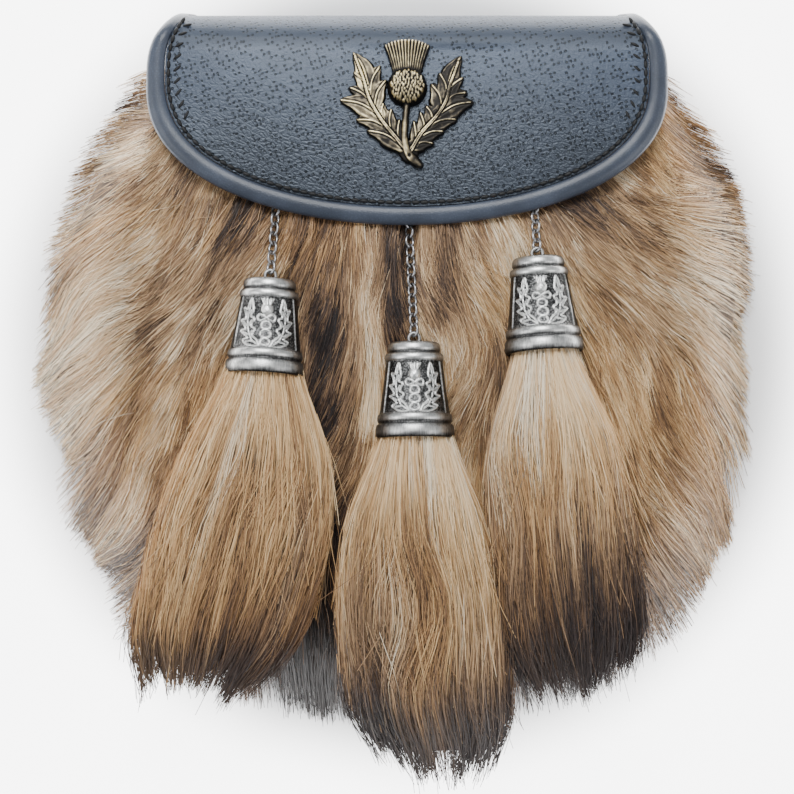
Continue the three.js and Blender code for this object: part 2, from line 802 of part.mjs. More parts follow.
function bodyReach(turn, outline) {
  const origin = fromFurCentre(turn, 0);
  const way = fromFurCentre(turn, 1).sub(origin);
  let reach = 0;
  for (let i = 0; i < outline.length; i += 1) {
    const a = outline[i].clone().sub(origin);
    const edge = outline[(i + 1) % outline.length].clone().sub(origin).sub(a);
    const turnOf = way.cross(edge);
    const along = a.cross(edge) / turnOf;
    const share = a.cross(way) / turnOf;
    if (along > 0 && share >= 0 && share <= 1) reach = Math.max(reach, along);
  }
  return reach;
}

// A lock is a low ridge that starts blunt and ends in a point
function lock(path, widths, heights) {
  const up = new THREE.Vector3(0, 0, 1);
  const rings = path.slice(0, -1).map((spot, i) => {
    const way = path[i + 1].clone().sub(spot).normalize();
    const side = new THREE.Vector3().crossVectors(way, up).normalize();
    const rise = new THREE.Vector3().crossVectors(side, way);
    const wide = side.clone().multiplyScalar(widths[i] / 2);
    const high = rise.clone().multiplyScalar(heights[i] / 2);
    return [spot.clone().add(wide), spot.clone().add(high), spot.clone().sub(wide), spot.clone().sub(high)];
  });
  return loft([...rings, [path[path.length - 1]]]);
}

function rimLocks() {
  const outline = bodyOutline(0);
  const first = furReaches[0].turn;
  const last = furReaches[furReaches.length - 1].turn;
  return Array.from({ length: rimLockCount }, (_, i) => {
    const turn = mix(first, last, i / (rimLockCount - 1));
    const lean = Math.sign(turn) * rimLockLean * Math.abs(Math.sin(radians(turn)));
    const rootReach = bodyReach(turn + lean, outline) - rimLockRoot;
    const tipReach = furReach(turn) * (1 + 0.018 * Math.sin(3.7 * i));
    const root = fromFurCentre(turn + lean, rootReach);
    const tip = fromFurCentre(turn, tipReach);
    const top = furTop(root.x, root.y) - rimLockThickness * 0.45;
    const path = [0, 0.3, 0.62, 1].map((share) => {
      const spot = root.clone().lerp(tip, share);
      return new THREE.Vector3(spot.x, spot.y, mix(top, rimTipHeight, share ** 1.5));
    });
    const widths = [1, 1, 0.82].map((share) => share * rimLockWidth);
    const heights = [1, 1.15, 0.8].map((share) => share * rimLockThickness);
    return solid(lock(path, widths, heights));
  });
}

function topLocks() {
  const widths = [topLockWidth, topLockWidth];
  const heights = [topLockThickness, topLockThickness];
  const sinks = [
    { along: 0, sink: 0.45 },
    { along: 0.5, sink: 0.2 },
    { along: 1, sink: 0.1 },
  ];
  return topLockRows.flatMap((shares, row) => shares.map((share) => {
    const rootX = share * pouchWidth;
    const rootY = -furFullReach - row * topLockPitch;
    const fan = radians(share * topLockFan);
    const path = sinks.map(({ along, sink }) => {
      const x = rootX + Math.sin(fan) * topLockLength * along;
      const y = rootY - Math.cos(fan) * topLockLength * along;
      return new THREE.Vector3(x, y, furTop(x, y) - topLockThickness * sink);
    });
    return solid(lock(path, widths, heights));
  }));
}

// Room that a chain and its staple take in the fur
function chainRoom(line) {
  const half = linkWidth / 2 + envelopeGap;
  const ringAt = (spot) => [
    new THREE.Vector3(spot.x - half, spot.y, spot.z - half),
    new THREE.Vector3(spot.x + half, spot.y, spot.z - half),
    new THREE.Vector3(spot.x + half, spot.y, spot.z + chainRoomHeight),
    new THREE.Vector3(spot.x - half, spot.y, spot.z + chainRoomHeight),
  ];
  const from = line.start.clone().addScaledVector(line.along, -linkSpan);
  const to = line.staple.clone().addScaledVector(line.along, linkSpan);
  const side = stapleBase + furRoom;
  const pocket = new THREE.BoxGeometry(side, side, chainRoomHeight);
  const low = frontHeight(line.staple.x, line.staple.y) - furRoom;
  pocket.translate(line.staple.x, line.staple.y + stapleSpan / 2, low + chainRoomHeight / 2);
  return joined([solid(loft([ringAt(from), ringAt(to)])), solid(pocket)]);
}

function makePelt(rooms) {
  const massUnder = () => frontUnder;
  const mass = solid(sheet(bodyOutline(furOverhang), bodyCentre, domeScales, furTop, massUnder));
  const inside = (x, y) => frontHeight(x, y) + fitGap;
  const below = () => -frontTop;
  const pouch = solid(sheet(bodyOutline(furRoom), bodyCentre, domeScales, inside, below));
  const studRoom = studDiameter / 2 + furRoom;
  const stud = new THREE.CylinderGeometry(studRoom, studRoom, 2 * frontTop, 12);
  stud.rotateX(Math.PI / 2);
  stud.translate(0, -studDrop, frontTop);
  const whole = joined([mass, ...rimLocks(), ...topLocks()]);
  const cut = joined([pouch, solid(stud), ...rooms]);
  return piece('fur_pelt', surface(whole.subtract(cut)), 0xb99b70, 0.95, 0);
}

// Thistle badge in its own frame: flat back at z 0, its top towards +Y
function badgeLeaf(sign) {
  const midrib = new THREE.CatmullRomCurve3(leafRib.map(({ x, y }, i) => {
    const side = i === 0 ? 1 : sign;
    return new THREE.Vector3(side * x * leafReach, y * leafReach, 0);
  }));
  const rim = badgeThickness * 0.8;
  const rings = leafTeeth.map(({ along, outer, inner, forward }) => {
    const spot = midrib.getPointAt(along);
    const way = midrib.getTangentAt(along);
    const out = new THREE.Vector3(sign * way.y, -sign * way.x, 0);
    const edge = (reach, z) => spot.clone()
      .addScaledVector(out, reach * leafToothLength)
      .addScaledVector(way, forward * leafToothLength)
      .setZ(z);
    const ridge = spot.clone().setZ(mix(badgeRidge, badgeThickness, along));
    return [edge(-inner, rim), ridge, edge(outer, rim), edge(outer, 0), edge(-inner, 0)];
  });
  return loft(rings);
}

function badgeCrown() {
  const foot = bulbRise + bulbRadius * 0.65;
  const rings = [];
  const steps = crownFlutes * 2;
  for (let i = 0; i <= steps; i += 1) {
    const share = i / steps - 0.5;
    const lift = i % 2 === 0 ? badgeThickness : badgeRidge;
    const low = new THREE.Vector2(share * crownFoot, foot);
    const high = new THREE.Vector2(share * crownWidth, crownTop - crownArch * 4 * share * share);
    rings.push([
      new THREE.Vector3(low.x, low.y, 0),
      new THREE.Vector3(low.x, low.y, lift),
      new THREE.Vector3(high.x, high.y, lift),
      new THREE.Vector3(high.x, high.y, 0),
    ]);
  }
  return loft(rings);
}

function makeBadge() {
  const bulb = new THREE.SphereGeometry(bulbRadius, 10, 6);
  bulb.scale(1, 1, bulbHeight / bulbRadius);
  bulb.translate(0, bulbRise, 0);
  const under = new THREE.BoxGeometry(4 * bulbRadius, 4 * bulbRadius, 2 * bulbHeight);
  under.translate(0, bulbRise, -bulbHeight);
  const stem = loft(stemRows.map((row) => {
    const half = (stemWidth / 2) * row.wide;
    const spot = (side, z) => new THREE.Vector3(row.x * stemLength + side * half, row.y * stemLength, z);
    return [spot(-1, 0), spot(-0.6, badgeRidge), spot(0.6, badgeRidge), spot(1, 0)];
  }));
  const scales = [];
  for (let row = 0; row < 3; row += 1) {
    for (let i = -1; i <= 1; i += 1) {
      const tilt = radians(-38 + row * 34);
      const turn = radians(i * 38 + (row % 2) * 19);
      const seat = new THREE.Vector3(
        Math.sin(turn) * Math.cos(tilt) * bulbRadius,
        bulbRise + Math.sin(tilt) * bulbRadius,
        Math.cos(turn) * Math.cos(tilt) * bulbHeight,
      );
      const scale = new THREE.ConeGeometry(scaleRadius, scaleHeight, 4);
      scale.rotateX(Math.PI / 2);
      scale.translate(seat.x, seat.y, seat.z);
      scales.push(solid(scale));
    }
  }
  const whole = joined([
    solid(bulb).subtract(solid(under)),
    solid(stem),
    solid(badgeLeaf(-1)),
    solid(badgeLeaf(1)),
    solid(badgeCrown()),
    ...scales,
  ]);
  const badge = piece('thistle_badge', surface(whole), 0x8d7d56, 0.45, 1);
  const front = flapLength - bindingWidth - flapTurnReach;
  const station = (badgeDrop - flapTurnReach) / front;
  const seat = flapSpot(station, bindingWidth, 0, flapThickness);
  const above = flapSpot(station - 0.1, bindingWidth, 0, flapThickness);
  badge.position.set(seat.x, seat.y, seat.z + fitGap);
  badge.rotation.x = Math.atan2(above.z - seat.z, above.y - seat.y);
  return badge;
}

const sporran = new THREE.Group();
sporran.add(makeBackPanel(), makeGusset(), makeFrontPanel(), makeKeeper());
sporran.add(makeFlap(), makeBinding(), makeStud(), makeBadge());

const rooms = [];
for (const tassel of tassels) {
  const group = capFrame(tassel);
  const line = chainLine(tassel, group);
  const cap = piece(`tassel_cone_${tassel.side}`, surface(makeCapSolid()), 0x7d7d78, 0.4, 1);
  const hair = piece(`tassel_hair_${tassel.side}`, surface(makeHairSolid(tassel)), 0xb08f66, 0.95, 0);
  group.add(cap, hair);
  sporran.add(group, makeStaple(tassel, line), ...makeLinks(tassel, line));
  rooms.push(solid(capLathe(envelopeGap), group.matrixWorld));
  rooms.push(solid(hairEnvelope(tassel), group.matrixWorld));
  rooms.push(chainRoom(line));
}
sporran.add(makePelt(rooms));

// The origin is the middle of the footprint, on the surface that the pouch lies on
sporran.updateMatrixWorld(true);
const extent = new THREE.Box3().setFromObject(sporran);
sporran.position.set(-(extent.min.x + extent.max.x) / 2, -(extent.min.y + extent.max.y) / 2, -extent.min.z);

export default sporran;
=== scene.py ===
"""A sporran pouch of fur and leather with a brass thistle and three hair tassels, lying on its back."""

import math

import bmesh
import bpy
import numpy as np
from mathutils import Matrix, Vector


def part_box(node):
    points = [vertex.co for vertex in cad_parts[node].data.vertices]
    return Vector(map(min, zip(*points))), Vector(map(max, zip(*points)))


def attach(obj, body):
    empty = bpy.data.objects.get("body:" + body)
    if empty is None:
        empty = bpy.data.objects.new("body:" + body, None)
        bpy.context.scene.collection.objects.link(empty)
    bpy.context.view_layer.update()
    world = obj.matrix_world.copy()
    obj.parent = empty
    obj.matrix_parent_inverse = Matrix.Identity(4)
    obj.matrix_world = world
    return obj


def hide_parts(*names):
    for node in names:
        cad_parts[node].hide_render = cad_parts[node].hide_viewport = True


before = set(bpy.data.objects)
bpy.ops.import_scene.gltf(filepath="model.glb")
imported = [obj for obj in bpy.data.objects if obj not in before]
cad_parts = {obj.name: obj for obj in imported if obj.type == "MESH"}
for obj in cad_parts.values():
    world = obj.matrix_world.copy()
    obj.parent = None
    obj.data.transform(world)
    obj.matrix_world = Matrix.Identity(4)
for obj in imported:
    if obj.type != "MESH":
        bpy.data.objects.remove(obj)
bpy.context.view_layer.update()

# The room: a pale floor that glows outside the object's shadow like a light table, one broad window-like lamp
# beyond the top edge with a weak one at each side, and a camera straight above.
# The picture is 794 pixels square, and each is 0.33 mm on the object. Lengths here are millimetres until
# place() turns them into the frame's metres. x 0 is the flap's middle, y 0 is its top edge, and y runs up.
MM = 0.001
METRE = 1000
PIXEL = 0.33
PICTURE = 794
FLAP_MIDDLE_PIXEL = 407
FLAP_TOP_PIXEL = 14
CAMERA_REACH = 10
LENS = 180
SENSOR = 36
PLANE_HEIGHT = 30

flap_low, flap_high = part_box("flap")
MIDDLE = (flap_low[0] + flap_high[0]) / 2
TOP_EDGE = flap_high[1]


def place(points):
    """Row positions in metres from points in millimetres."""
    points = np.asarray(points, dtype=float)
    return points * MM + np.array([MIDDLE, TOP_EDGE, 0.0])


def pixel(px, py):
    """The x and y in millimetres of a pixel of the picture."""
    return (px - FLAP_MIDDLE_PIXEL) * PIXEL, (FLAP_TOP_PIXEL - py) * PIXEL


camera_data = bpy.data.cameras.new("camera")
camera_data.lens = LENS
camera_data.sensor_width = SENSOR
camera_data.sensor_fit = "HORIZONTAL"
camera_data.clip_end = CAMERA_REACH
camera = bpy.data.objects.new("camera", camera_data)
bpy.context.scene.collection.objects.link(camera)
centre_x, centre_y = pixel(PICTURE / 2, PICTURE / 2)
distance = PICTURE * PIXEL / SENSOR * LENS
camera.location = place([centre_x, centre_y, PLANE_HEIGHT + distance])
bpy.context.scene.camera = camera


def lamp(name, position, target, size, power, colour=(1, 1, 1)):
    """A soft square light that faces its target."""
    data = bpy.data.lights.new(name, "AREA")
    data.shape = "SQUARE"
    data.size = size
    data.energy = power
    data.color = colour
    holder = bpy.data.objects.new(name, data)
    bpy.context.scene.collection.objects.link(holder)
    holder.location = position
    holder.rotation_euler = (Vector(target) - Vector(position)).to_track_quat("-Z", "Y").to_euler()


lamp("window", (-0.12, 0.7, 1.0), target=(0, 0.05, 0.02), size=0.6, power=15, colour=(0.97, 0.985, 1.0))
lamp("left", (-0.95, -0.1, 0.75), target=(0, 0, 0.02), size=0.6, power=5)
lamp("right", (0.95, -0.3, 0.8), target=(0, 0, 0.02), size=0.6, power=4.5)

SKY_COLOUR = (0.93, 0.96, 1.0, 1)
SKY_STRENGTH = 0.4
world = bpy.data.worlds.new("room")
bpy.context.scene.world = world
world.use_nodes = True
sky = world.node_tree.nodes["Background"].inputs
sky["Color"].default_value = SKY_COLOUR
sky["Strength"].default_value = SKY_STRENGTH


class Value:
    """A shader socket that takes part in sums like a number."""

    def __init__(self, finish, socket):
        self.finish = finish
        self.socket = socket

    def math(self, operation, *others):
        sockets = dict(enumerate((self, *others)))
        return self.finish.node("ShaderNodeMath", {"operation": operation}, sockets)["Value"]

    def __add__(self, other):
        return self.math("ADD", other)

    __radd__ = __add__

    def __mul__(self, other):
        return self.math("MULTIPLY", other)

    __rmul__ = __mul__

    def __sub__(self, other):
        return self.math("SUBTRACT", other)

    def __rsub__(self, other):
        return (self * -1) + other

    def clamp(self):
        return self.finish.node("ShaderNodeClamp", {}, {"Value": self})["Result"]

    def between(self, low, high):
        """0 below low, 1 above high, and smooth from one to the other."""
        return self.finish.node(
            "ShaderNodeMapRange",
            {"interpolation_type": "SMOOTHSTEP"},
            {"Value": self, "From Min": low, "From Max": high},
        )["Result"]


class Made:
    """A node whose outputs are read by name or number."""

    def __init__(self, finish, node):
        self.finish = finish
        self.node = node

    def __getitem__(self, key):
        return Value(self.finish, self.node.outputs[key])


class Finish:
    """A material put together from nodes."""

    def __init__(self, name):
        self.material = bpy.data.materials.new(name)
        self.material.use_nodes = True
        self.tree = self.material.node_tree
        self.tree.nodes.clear()

    def node(self, kind, settings, sockets):
        """A node with its settings, then the values or the links of its sockets."""
        made = self.tree.nodes.new(kind)
        for key, value in settings.items():
            if key == "stops":
                ramp = made.color_ramp
                while len(ramp.elements) < len(value):
                    ramp.elements.new(0.5)
                for element, (position, colour) in zip(ramp.elements, value):
                    element.position = position
                    element.color = colour
            else:
                setattr(made, key, value)
        for key, value in sockets.items():
            if isinstance(value, Value):
                self.tree.links.new(value.socket, made.inputs[key])
            else:
                made.inputs[key].default_value = value
        return Made(self, made)

    def vector(self, operation, first, second):
        sockets = {0: first, 1: second}
        return self.node("ShaderNodeVectorMath", {"operation": operation}, sockets)["Vector"]

    def place(self):
        """Object coordinates in millimetres."""
        coords = self.node("ShaderNodeTexCoord", {}, {})["Object"]
        scaled = self.node("ShaderNodeVectorMath", {"operation": "SCALE"}, {0: coords, "Scale": METRE})
        return scaled["Vector"]

    def noise(self, coords, size, detail=2.0, roughness=0.5):
        """Noise with lumps of about this size in millimetres."""
        sockets = {"Vector": coords, "Scale": 1 / size, "Detail": detail, "Roughness": roughness}
        return self.node("ShaderNodeTexNoise", {}, sockets)["Fac"]

    def mix(self, factor, first, second, blend="MIX"):
        settings = {"data_type": "RGBA", "blend_type": blend}
        return self.node("ShaderNodeMix", settings, {0: factor, 6: first, 7: second})[2]

    def ramp(self, value, stops):
        return self.node("ShaderNodeValToRGB", {"stops": stops}, {"Fac": value})["Color"]

    def bump(self, height, depth):
        """A bump whose height of 1 stands this many millimetres proud."""
        sockets = {"Height": height, "Distance": depth * MM, "Strength": 1.0}
        return self.node("ShaderNodeBump", {}, sockets)["Normal"]

    def finished(self, sockets):
        shader = self.node("ShaderNodeBsdfPrincipled", {}, sockets)
        output = self.tree.nodes.new("ShaderNodeOutputMaterial")
        self.tree.links.new(shader["BSDF"].socket, output.inputs["Surface"])
        return self.material


def paint(red, green, blue):
    """A linear colour from its 0 to 255 screen values."""
    def linear(value):
        value /= 255
        return value / 12.92 if value <= 0.04045 else ((value + 0.055) / 1.055) ** 2.4
    return (linear(red), linear(green), linear(blue), 1.0)


def add_piece(name, mesh, material=None, smooth=True):
    """An object at the origin for a mesh whose points are already in the frame."""
    if material:
        mesh.materials.clear()
        mesh.materials.append(material)
    mesh.polygons.foreach_set("use_smooth", np.full(len(mesh.polygons), smooth))
    mesh.update()
    piece = bpy.data.objects.new(name, mesh)
    bpy.context.scene.collection.objects.link(piece)
    return piece


FLOOR_HALF = 6.0
SHADE_DROP = 112
SHADE_EDGE = (116, 150)
GLOW_FADE = (230, 900)
GLOW_DARK = (0.05, 0.05, 0.05, 1)
GLOW_STRENGTH = 6.0
floor_mesh = bpy.data.meshes.new("floor")
floor_corners = [(x * FLOOR_HALF, y * FLOOR_HALF, 0) for x, y in ((-1, -1), (1, -1), (1, 1), (-1, 1))]
floor_mesh.from_pydata(floor_corners, [], [(0, 1, 2, 3)])
floor_finish = Finish("pale_floor")
shade_centre = (MIDDLE * METRE, TOP_EDGE * METRE - SHADE_DROP, 0)
away = floor_finish.node(
    "ShaderNodeVectorMath", {"operation": "DISTANCE"}, {0: floor_finish.place(), 1: shade_centre}
)["Value"]
# Painted light: the floor glows, dim inside a disc round the pouch and rising at its edge, so that the rise paints
# a soft shadow round the pouch; far away the glow fades again.
glow = away.between(*SHADE_EDGE) * (1 - away.between(*GLOW_FADE))
floor_look = {
    "Base Color": (0.92, 0.92, 0.92, 1),
    "Roughness": 0.9,
    "Emission Color": floor_finish.mix(glow, GLOW_DARK, (1, 1, 1, 1)),
    "Emission Strength": GLOW_STRENGTH,
}
floor = add_piece("floor", floor_mesh, floor_finish.finished(floor_look))


# The pouch itself: two leather panels with a strip between them, and a keeper for the strap sewn on its
# back. Smooth dyed leather, cut and edge-painted, lock-stitched round the edge with waxed black thread.
POUCH_WIDTH = 184
POUCH_HEIGHT = 184.6
MOUTH_DROP = 11.4
MOUTH_WIDTH = 150
PANEL = 2.2
GUSSET = 1.6
FIT = 0.3
back_low, back_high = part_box("back_panel")
BACK_UNDER = back_low[2] * METRE
BACK_TOP = back_high[2] * METRE
FRONT_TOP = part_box("front_panel")[0][2] * METRE + PANEL
FRONT_CROWN = 5
ROUNDNESS = 2.4
GUSSET_HOLLOW = 0.8
GUSSET_STEPS = 7


def smooth_step(share):
    share = np.clip(share, 0, 1)
    return share * share * (3 - 2 * share)


def body_outline(margin, side_steps=24, bottom_steps=96):
    """The pouch's outline from the right end of its mouth, round the bottom, to the left end."""
    half = POUCH_WIDTH / 2 + margin
    mouth = MOUTH_WIDTH / 2 + margin
    widest = POUCH_HEIGHT / 2
    deep = POUCH_HEIGHT - widest + margin
    share = np.arange(side_steps) / side_steps
    right = np.column_stack([half - (half - mouth) * (1 - share) ** 2, -MOUTH_DROP - widest * share])
    angle = np.linspace(0, np.pi, bottom_steps + 1)
    across = np.sign(np.cos(angle)) * np.abs(np.cos(angle)) ** (2 / ROUNDNESS)
    down = deep * np.sin(angle) ** (2 / ROUNDNESS)
    bottom = np.column_stack([half * across, -MOUTH_DROP - widest - down])
    left = right[::-1] * [-1, 1]
    return np.vstack([right, bottom, left])


def front_height(x, y):
    across = np.maximum(0, 1 - (2 * x / POUCH_WIDTH) ** 2)
    down = np.clip((-y - MOUTH_DROP) / POUCH_HEIGHT, 0, 1)
    return FRONT_TOP + FRONT_CROWN * across * 4 * down * (1 - down)


def build_mesh(name, points, faces):
    """A mesh from millimetre points and the faces between them."""
    mesh = bpy.data.meshes.new(name)
    mesh.from_pydata([tuple(p) for p in place(points)], [], [tuple(int(i) for i in f) for f in faces])
    mesh.validate()
    return mesh


def loft_faces(rings, count):
    """Faces between rings of count points each, joined round, with flat ends."""
    faces = []
    for r in range(rings - 1):
        for i in range(count):
            j = (i + 1) % count
            faces.append((r * count + i, r * count + j, (r + 1) * count + j, (r + 1) * count + i))
    faces.append(tuple(range(count - 1, -1, -1)))
    faces.append(tuple((rings - 1) * count + i for i in range(count)))
    return faces


def face_outwards(mesh):
    """Turns a closed mesh's faces outwards and leaves it otherwise as it is."""
    work = bmesh.new()
    work.from_mesh(mesh)
    bmesh.ops.recalc_face_normals(work, faces=work.faces)
    work.to_mesh(mesh)
    work.free()


def leather(name, base, lit, roughness, grain_size=0.9, grain_depth=0.12, coat=0.0):
    """Smooth leather: a fine grain, cloudy dye and slight wear."""
    finish = Finish(name)
    at = finish.place()
    edges = {"feature": "DISTANCE_TO_EDGE"}
    cells = finish.node("ShaderNodeTexVoronoi", edges, {"Vector": at, "Scale": 1 / grain_size})["Distance"]
    clouds = finish.noise(at, 14, 3)
    fine = finish.noise(at, 0.5, 3)
    grain = (cells * 2).clamp() * 0.6 + fine * 0.4
    colour = finish.mix(clouds.between(0.3, 0.7), base, lit)
    shade = finish.mix((1 - grain) * 0.5, colour, (0.004, 0.004, 0.006, 1))
    return finish.finished({
        "Base Color": shade,
        "Roughness": roughness + (fine - 0.5) * 0.25,
        "Coat Weight": coat,
        "Normal": finish.bump(grain, grain_depth),
    })


def lay_on(node, material):
    """Puts a material on a CAD node that is shown as it is."""
    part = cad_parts[node]
    part.data.materials.clear()
    part.data.materials.append(material)


body_leather = leather("body_leather", paint(30, 31, 35), paint(42, 43, 48), 0.5)
keeper_leather = leather("keeper_leather", paint(34, 35, 39), paint(50, 51, 56), 0.42, 1.1)

EDGE_ROUND = 0.5
EDGE_EASE = EDGE_ROUND * 0.3


def make_panel(name, low, high):
    """A flat panel with softly rounded cut edges and a closed rim."""
    levels = [
        (-EDGE_ROUND, low), (-EDGE_EASE, low + EDGE_EASE), (0, low + EDGE_ROUND),
        (0, high - EDGE_ROUND), (-EDGE_EASE, high - EDGE_EASE), (-EDGE_ROUND, high),
    ]
    rings = []
    for margin, z in levels:
        outline = body_outline(margin)
        rings.append(np.column_stack([outline, np.full(len(outline), z)]))
    count = len(rings[0])
    mesh = build_mesh(name, np.vstack(rings), loft_faces(len(rings), count))
    face_outwards(mesh)
    return mesh


back = add_piece("back_leather", make_panel("back_leather", BACK_UNDER, BACK_TOP), body_leather, False)
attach(back, "root")
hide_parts("back_panel")


def make_gusset():
    """The strip between the panels: a smooth wall with a slight hollow between its two seams."""
    low = BACK_TOP + FIT
    high = FRONT_TOP - PANEL - FIT
    rings = []
    for inset, shares in ((0, np.linspace(0, 1, GUSSET_STEPS)), (GUSSET, np.linspace(1, 0, GUSSET_STEPS))):
        for share in shares:
            outline = body_outline(-inset - GUSSET_HOLLOW * math.sin(math.pi * share))
            rings.append(np.column_stack([outline, np.full(len(outline), low + (high - low) * share)]))
    count, total = len(rings[0]), len(rings)
    faces = []
    for r in range(total):
        for i in range(count - 1):
            n = (r + 1) % total
            faces.append((r * count + i, r * count + i + 1, n * count + i + 1, n * count + i))
    faces.append(tuple(r * count for r in range(total)))
    faces.append(tuple(r * count + count - 1 for r in range(total - 1, -1, -1)))
    mesh = build_mesh("gusset_leather", np.vstack(rings), faces)
    face_outwards(mesh)
    return mesh


gusset = add_piece("gusset_leather", make_gusset(), body_leather)
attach(gusset, "root")
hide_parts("gusset")

lay_on("front_panel", body_leather)
lay_on("belt_loop", keeper_leather)


class PathTree:
    """A Geometry Nodes tree that works on paths, with named numbers and one material as its inputs."""

    def __init__(self, name, numbers, material):
        self.tree = bpy.data.node_groups.new(name, "GeometryNodeTree")
        face = self.tree.interface
        face.new_socket("Geometry", in_out="INPUT", socket_type="NodeSocketGeometry")
        for label in numbers:
            face.new_socket(label, in_out="INPUT", socket_type="NodeSocketFloat")
        face.new_socket(material, in_out="INPUT", socket_type="NodeSocketMaterial")
        face.new_socket("Geometry", in_out="OUTPUT", socket_type="NodeSocketGeometry")
        self.given = self.tree.nodes.new("NodeGroupInput").outputs
        self.material = material

    def node(self, kind, settings, sockets):
        """The outputs of a node with its settings, then the values or the links of its sockets."""
        made = self.tree.nodes.new(kind)
        for key, value in settings.items():
            setattr(made, key, value)
        for key, value in sockets.items():
            if isinstance(value, bpy.types.NodeSocket):
                self.tree.links.new(value, made.inputs[key])
            else:
                made.inputs[key].default_value = value
        return made.outputs

    def finished(self, geometry):
        solid = self.node("GeometryNodeRealizeInstances", {}, {"Geometry": geometry})["Geometry"]
        sockets = {"Geometry": solid, "Material": self.given[self.material]}
        painted = self.node("GeometryNodeSetMaterial", {}, sockets)["Geometry"]
        self.node("NodeGroupOutput", {}, {"Geometry": painted})
        return self.tree


def stitch_tree():
    """Nodes that sew one stitch at each step along a path, all joined into one mesh."""
    tree = PathTree("stitches", ("Pitch", "Length", "Thickness", "Slant"), "Thread")
    given, thick = tree.given, tree.given["Thickness"]
    curve = tree.node("GeometryNodeMeshToCurve", {}, {"Mesh": given["Geometry"]})["Curve"]
    spacing = {"Curve": curve, "Length": given["Pitch"]}
    steps = tree.node("GeometryNodeResampleCurve", {"mode": "LENGTH"}, spacing)["Curve"]
    ball = tree.node("GeometryNodeMeshIcoSphere", {}, {"Radius": 0.5, "Subdivisions": 2})["Mesh"]
    size = tree.node("ShaderNodeCombineXYZ", {}, {"X": given["Length"], "Y": thick, "Z": thick})["Vector"]
    stitch = tree.node("GeometryNodeTransform", {}, {"Geometry": ball, "Scale": size})["Geometry"]
    tangent = tree.node("GeometryNodeInputTangent", {}, {})["Tangent"]
    axes = {"axis": "X", "pivot_axis": "Z"}
    aligned = tree.node("FunctionNodeAlignRotationToVector", axes, {"Vector": tangent})["Rotation"]
    slant = tree.node("ShaderNodeCombineXYZ", {}, {"Z": given["Slant"]})["Vector"]
    turns = {"Rotation": aligned, "Rotate By": slant}
    turned = tree.node("FunctionNodeRotateRotation", {"rotation_space": "LOCAL"}, turns)["Rotation"]
    placed = {"Points": steps, "Instance": stitch, "Rotation": turned}
    return tree.finished(tree.node("GeometryNodeInstanceOnPoints", {}, placed)["Instances"])


def worked(tree, mesh, inputs, name):
    """The plain mesh that a tree makes from a mesh, with the tree's inputs set by their identifiers."""
    holder = bpy.data.objects.new(name, mesh)
    bpy.context.scene.collection.objects.link(holder)
    modifier = holder.modifiers.new("nodes", "NODES")
    modifier.node_group = tree
    ids = {item.name: item.identifier for item in tree.interface.items_tree if item.in_out == "INPUT"}
    for label, value in inputs.items():
        modifier[ids[label]] = value
    evaluated = holder.evaluated_get(bpy.context.evaluated_depsgraph_get())
    made = bpy.data.meshes.new_from_object(evaluated)
    bpy.data.objects.remove(holder)
    return made


def thread_finish(name, colour):
    """Waxed thread with a twist."""
    finish = Finish(name)
    at = finish.place()
    twist = finish.noise(at, 0.35, 1)
    return finish.finished({
        "Base Color": finish.mix(twist, colour, tuple(0.45 * c for c in colour[:3]) + (1,)),
        "Roughness": 0.6,
        "Normal": finish.bump(twist, 0.08),
    })


sewing = stitch_tree()
black_thread = thread_finish("black_thread", paint(14, 14, 16))


def sew(name, paths, pitch, length, thickness, slant=0.0):
    """A row of stitches along each path of millimetre points."""
    points, edges, start = [], [], 0
    for path in paths:
        points.extend(tuple(p) for p in place(path))
        edges.extend((start + i, start + i + 1) for i in range(len(path) - 1))
        start += len(path)
    guide = bpy.data.meshes.new(name + "_path")
    guide.from_pydata(points, edges, [])
    inputs = {
        "Pitch": pitch * MM, "Length": length * MM, "Thickness": thickness * MM,
        "Slant": slant, "Thread": black_thread,
    }
    mesh = worked(sewing, guide, inputs, name)
    mesh.name = name
    row = add_piece(name, mesh)
    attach(row, "root")
    return row


SEAM_IN = 4
SEAM_PITCH = 3.0
SEAM_STITCH = 2.3
SEAM_THREAD = 0.5
back_seam = body_outline(-SEAM_IN)
back_row = np.column_stack([back_seam, np.full(len(back_seam), BACK_UNDER + 0.05)])
sew("back_seam", [back_row], SEAM_PITCH, SEAM_STITCH, SEAM_THREAD)
keeper_low, keeper_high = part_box("belt_loop")
KEEPER_HALF = (keeper_high[0] - keeper_low[0]) * METRE / 2
KEEPER_TOP = (keeper_high[1] - TOP_EDGE) * METRE
KEEPER_FOOT = (keeper_low[1] - TOP_EDGE) * METRE
KEEPER_SEAM_IN = 3.2
KEEPER_END_IN = 3
KEEPER_THICK = 2.02
keeper_face = BACK_UNDER - FIT - KEEPER_THICK
keeper_rows = [
    [(-KEEPER_HALF + KEEPER_END_IN, y, keeper_face), (KEEPER_HALF - KEEPER_END_IN, y, keeper_face)]
    for y in (KEEPER_TOP - KEEPER_SEAM_IN, KEEPER_FOOT + KEEPER_SEAM_IN)
]
sew("keeper_seam", keeper_rows, SEAM_PITCH, SEAM_STITCH, SEAM_THREAD)


# The flap: blue-black leather with a pigskin grain. It is sewn to the outside of the back, turns over the
# top and hangs down the front in a wide half-round. Its rolled edge is smooth leather, sewn down in black.
BINDING_WIDTH = 6.2
FLAP_THICKNESS = 2.0
FLAP_TAIL = 30
FLAP_TURN = 11
FLAP_RISE = 3.4
FLAP_SIDE_DROP = 3
FLAP_DEEPEST = 0.35
FLAP_SHOULDER = 3.5
FLAP_ROUNDNESS = 2.3
FLAP_WIDTH = 171
FLAP_HINGE = 148.8
FLAP_LENGTH = 70.3
FLAP_FILLING = 9
FLAP_UNDER = FRONT_TOP + FLAP_FILLING
FLAP_TAIL_TOP = BACK_UNDER - FIT


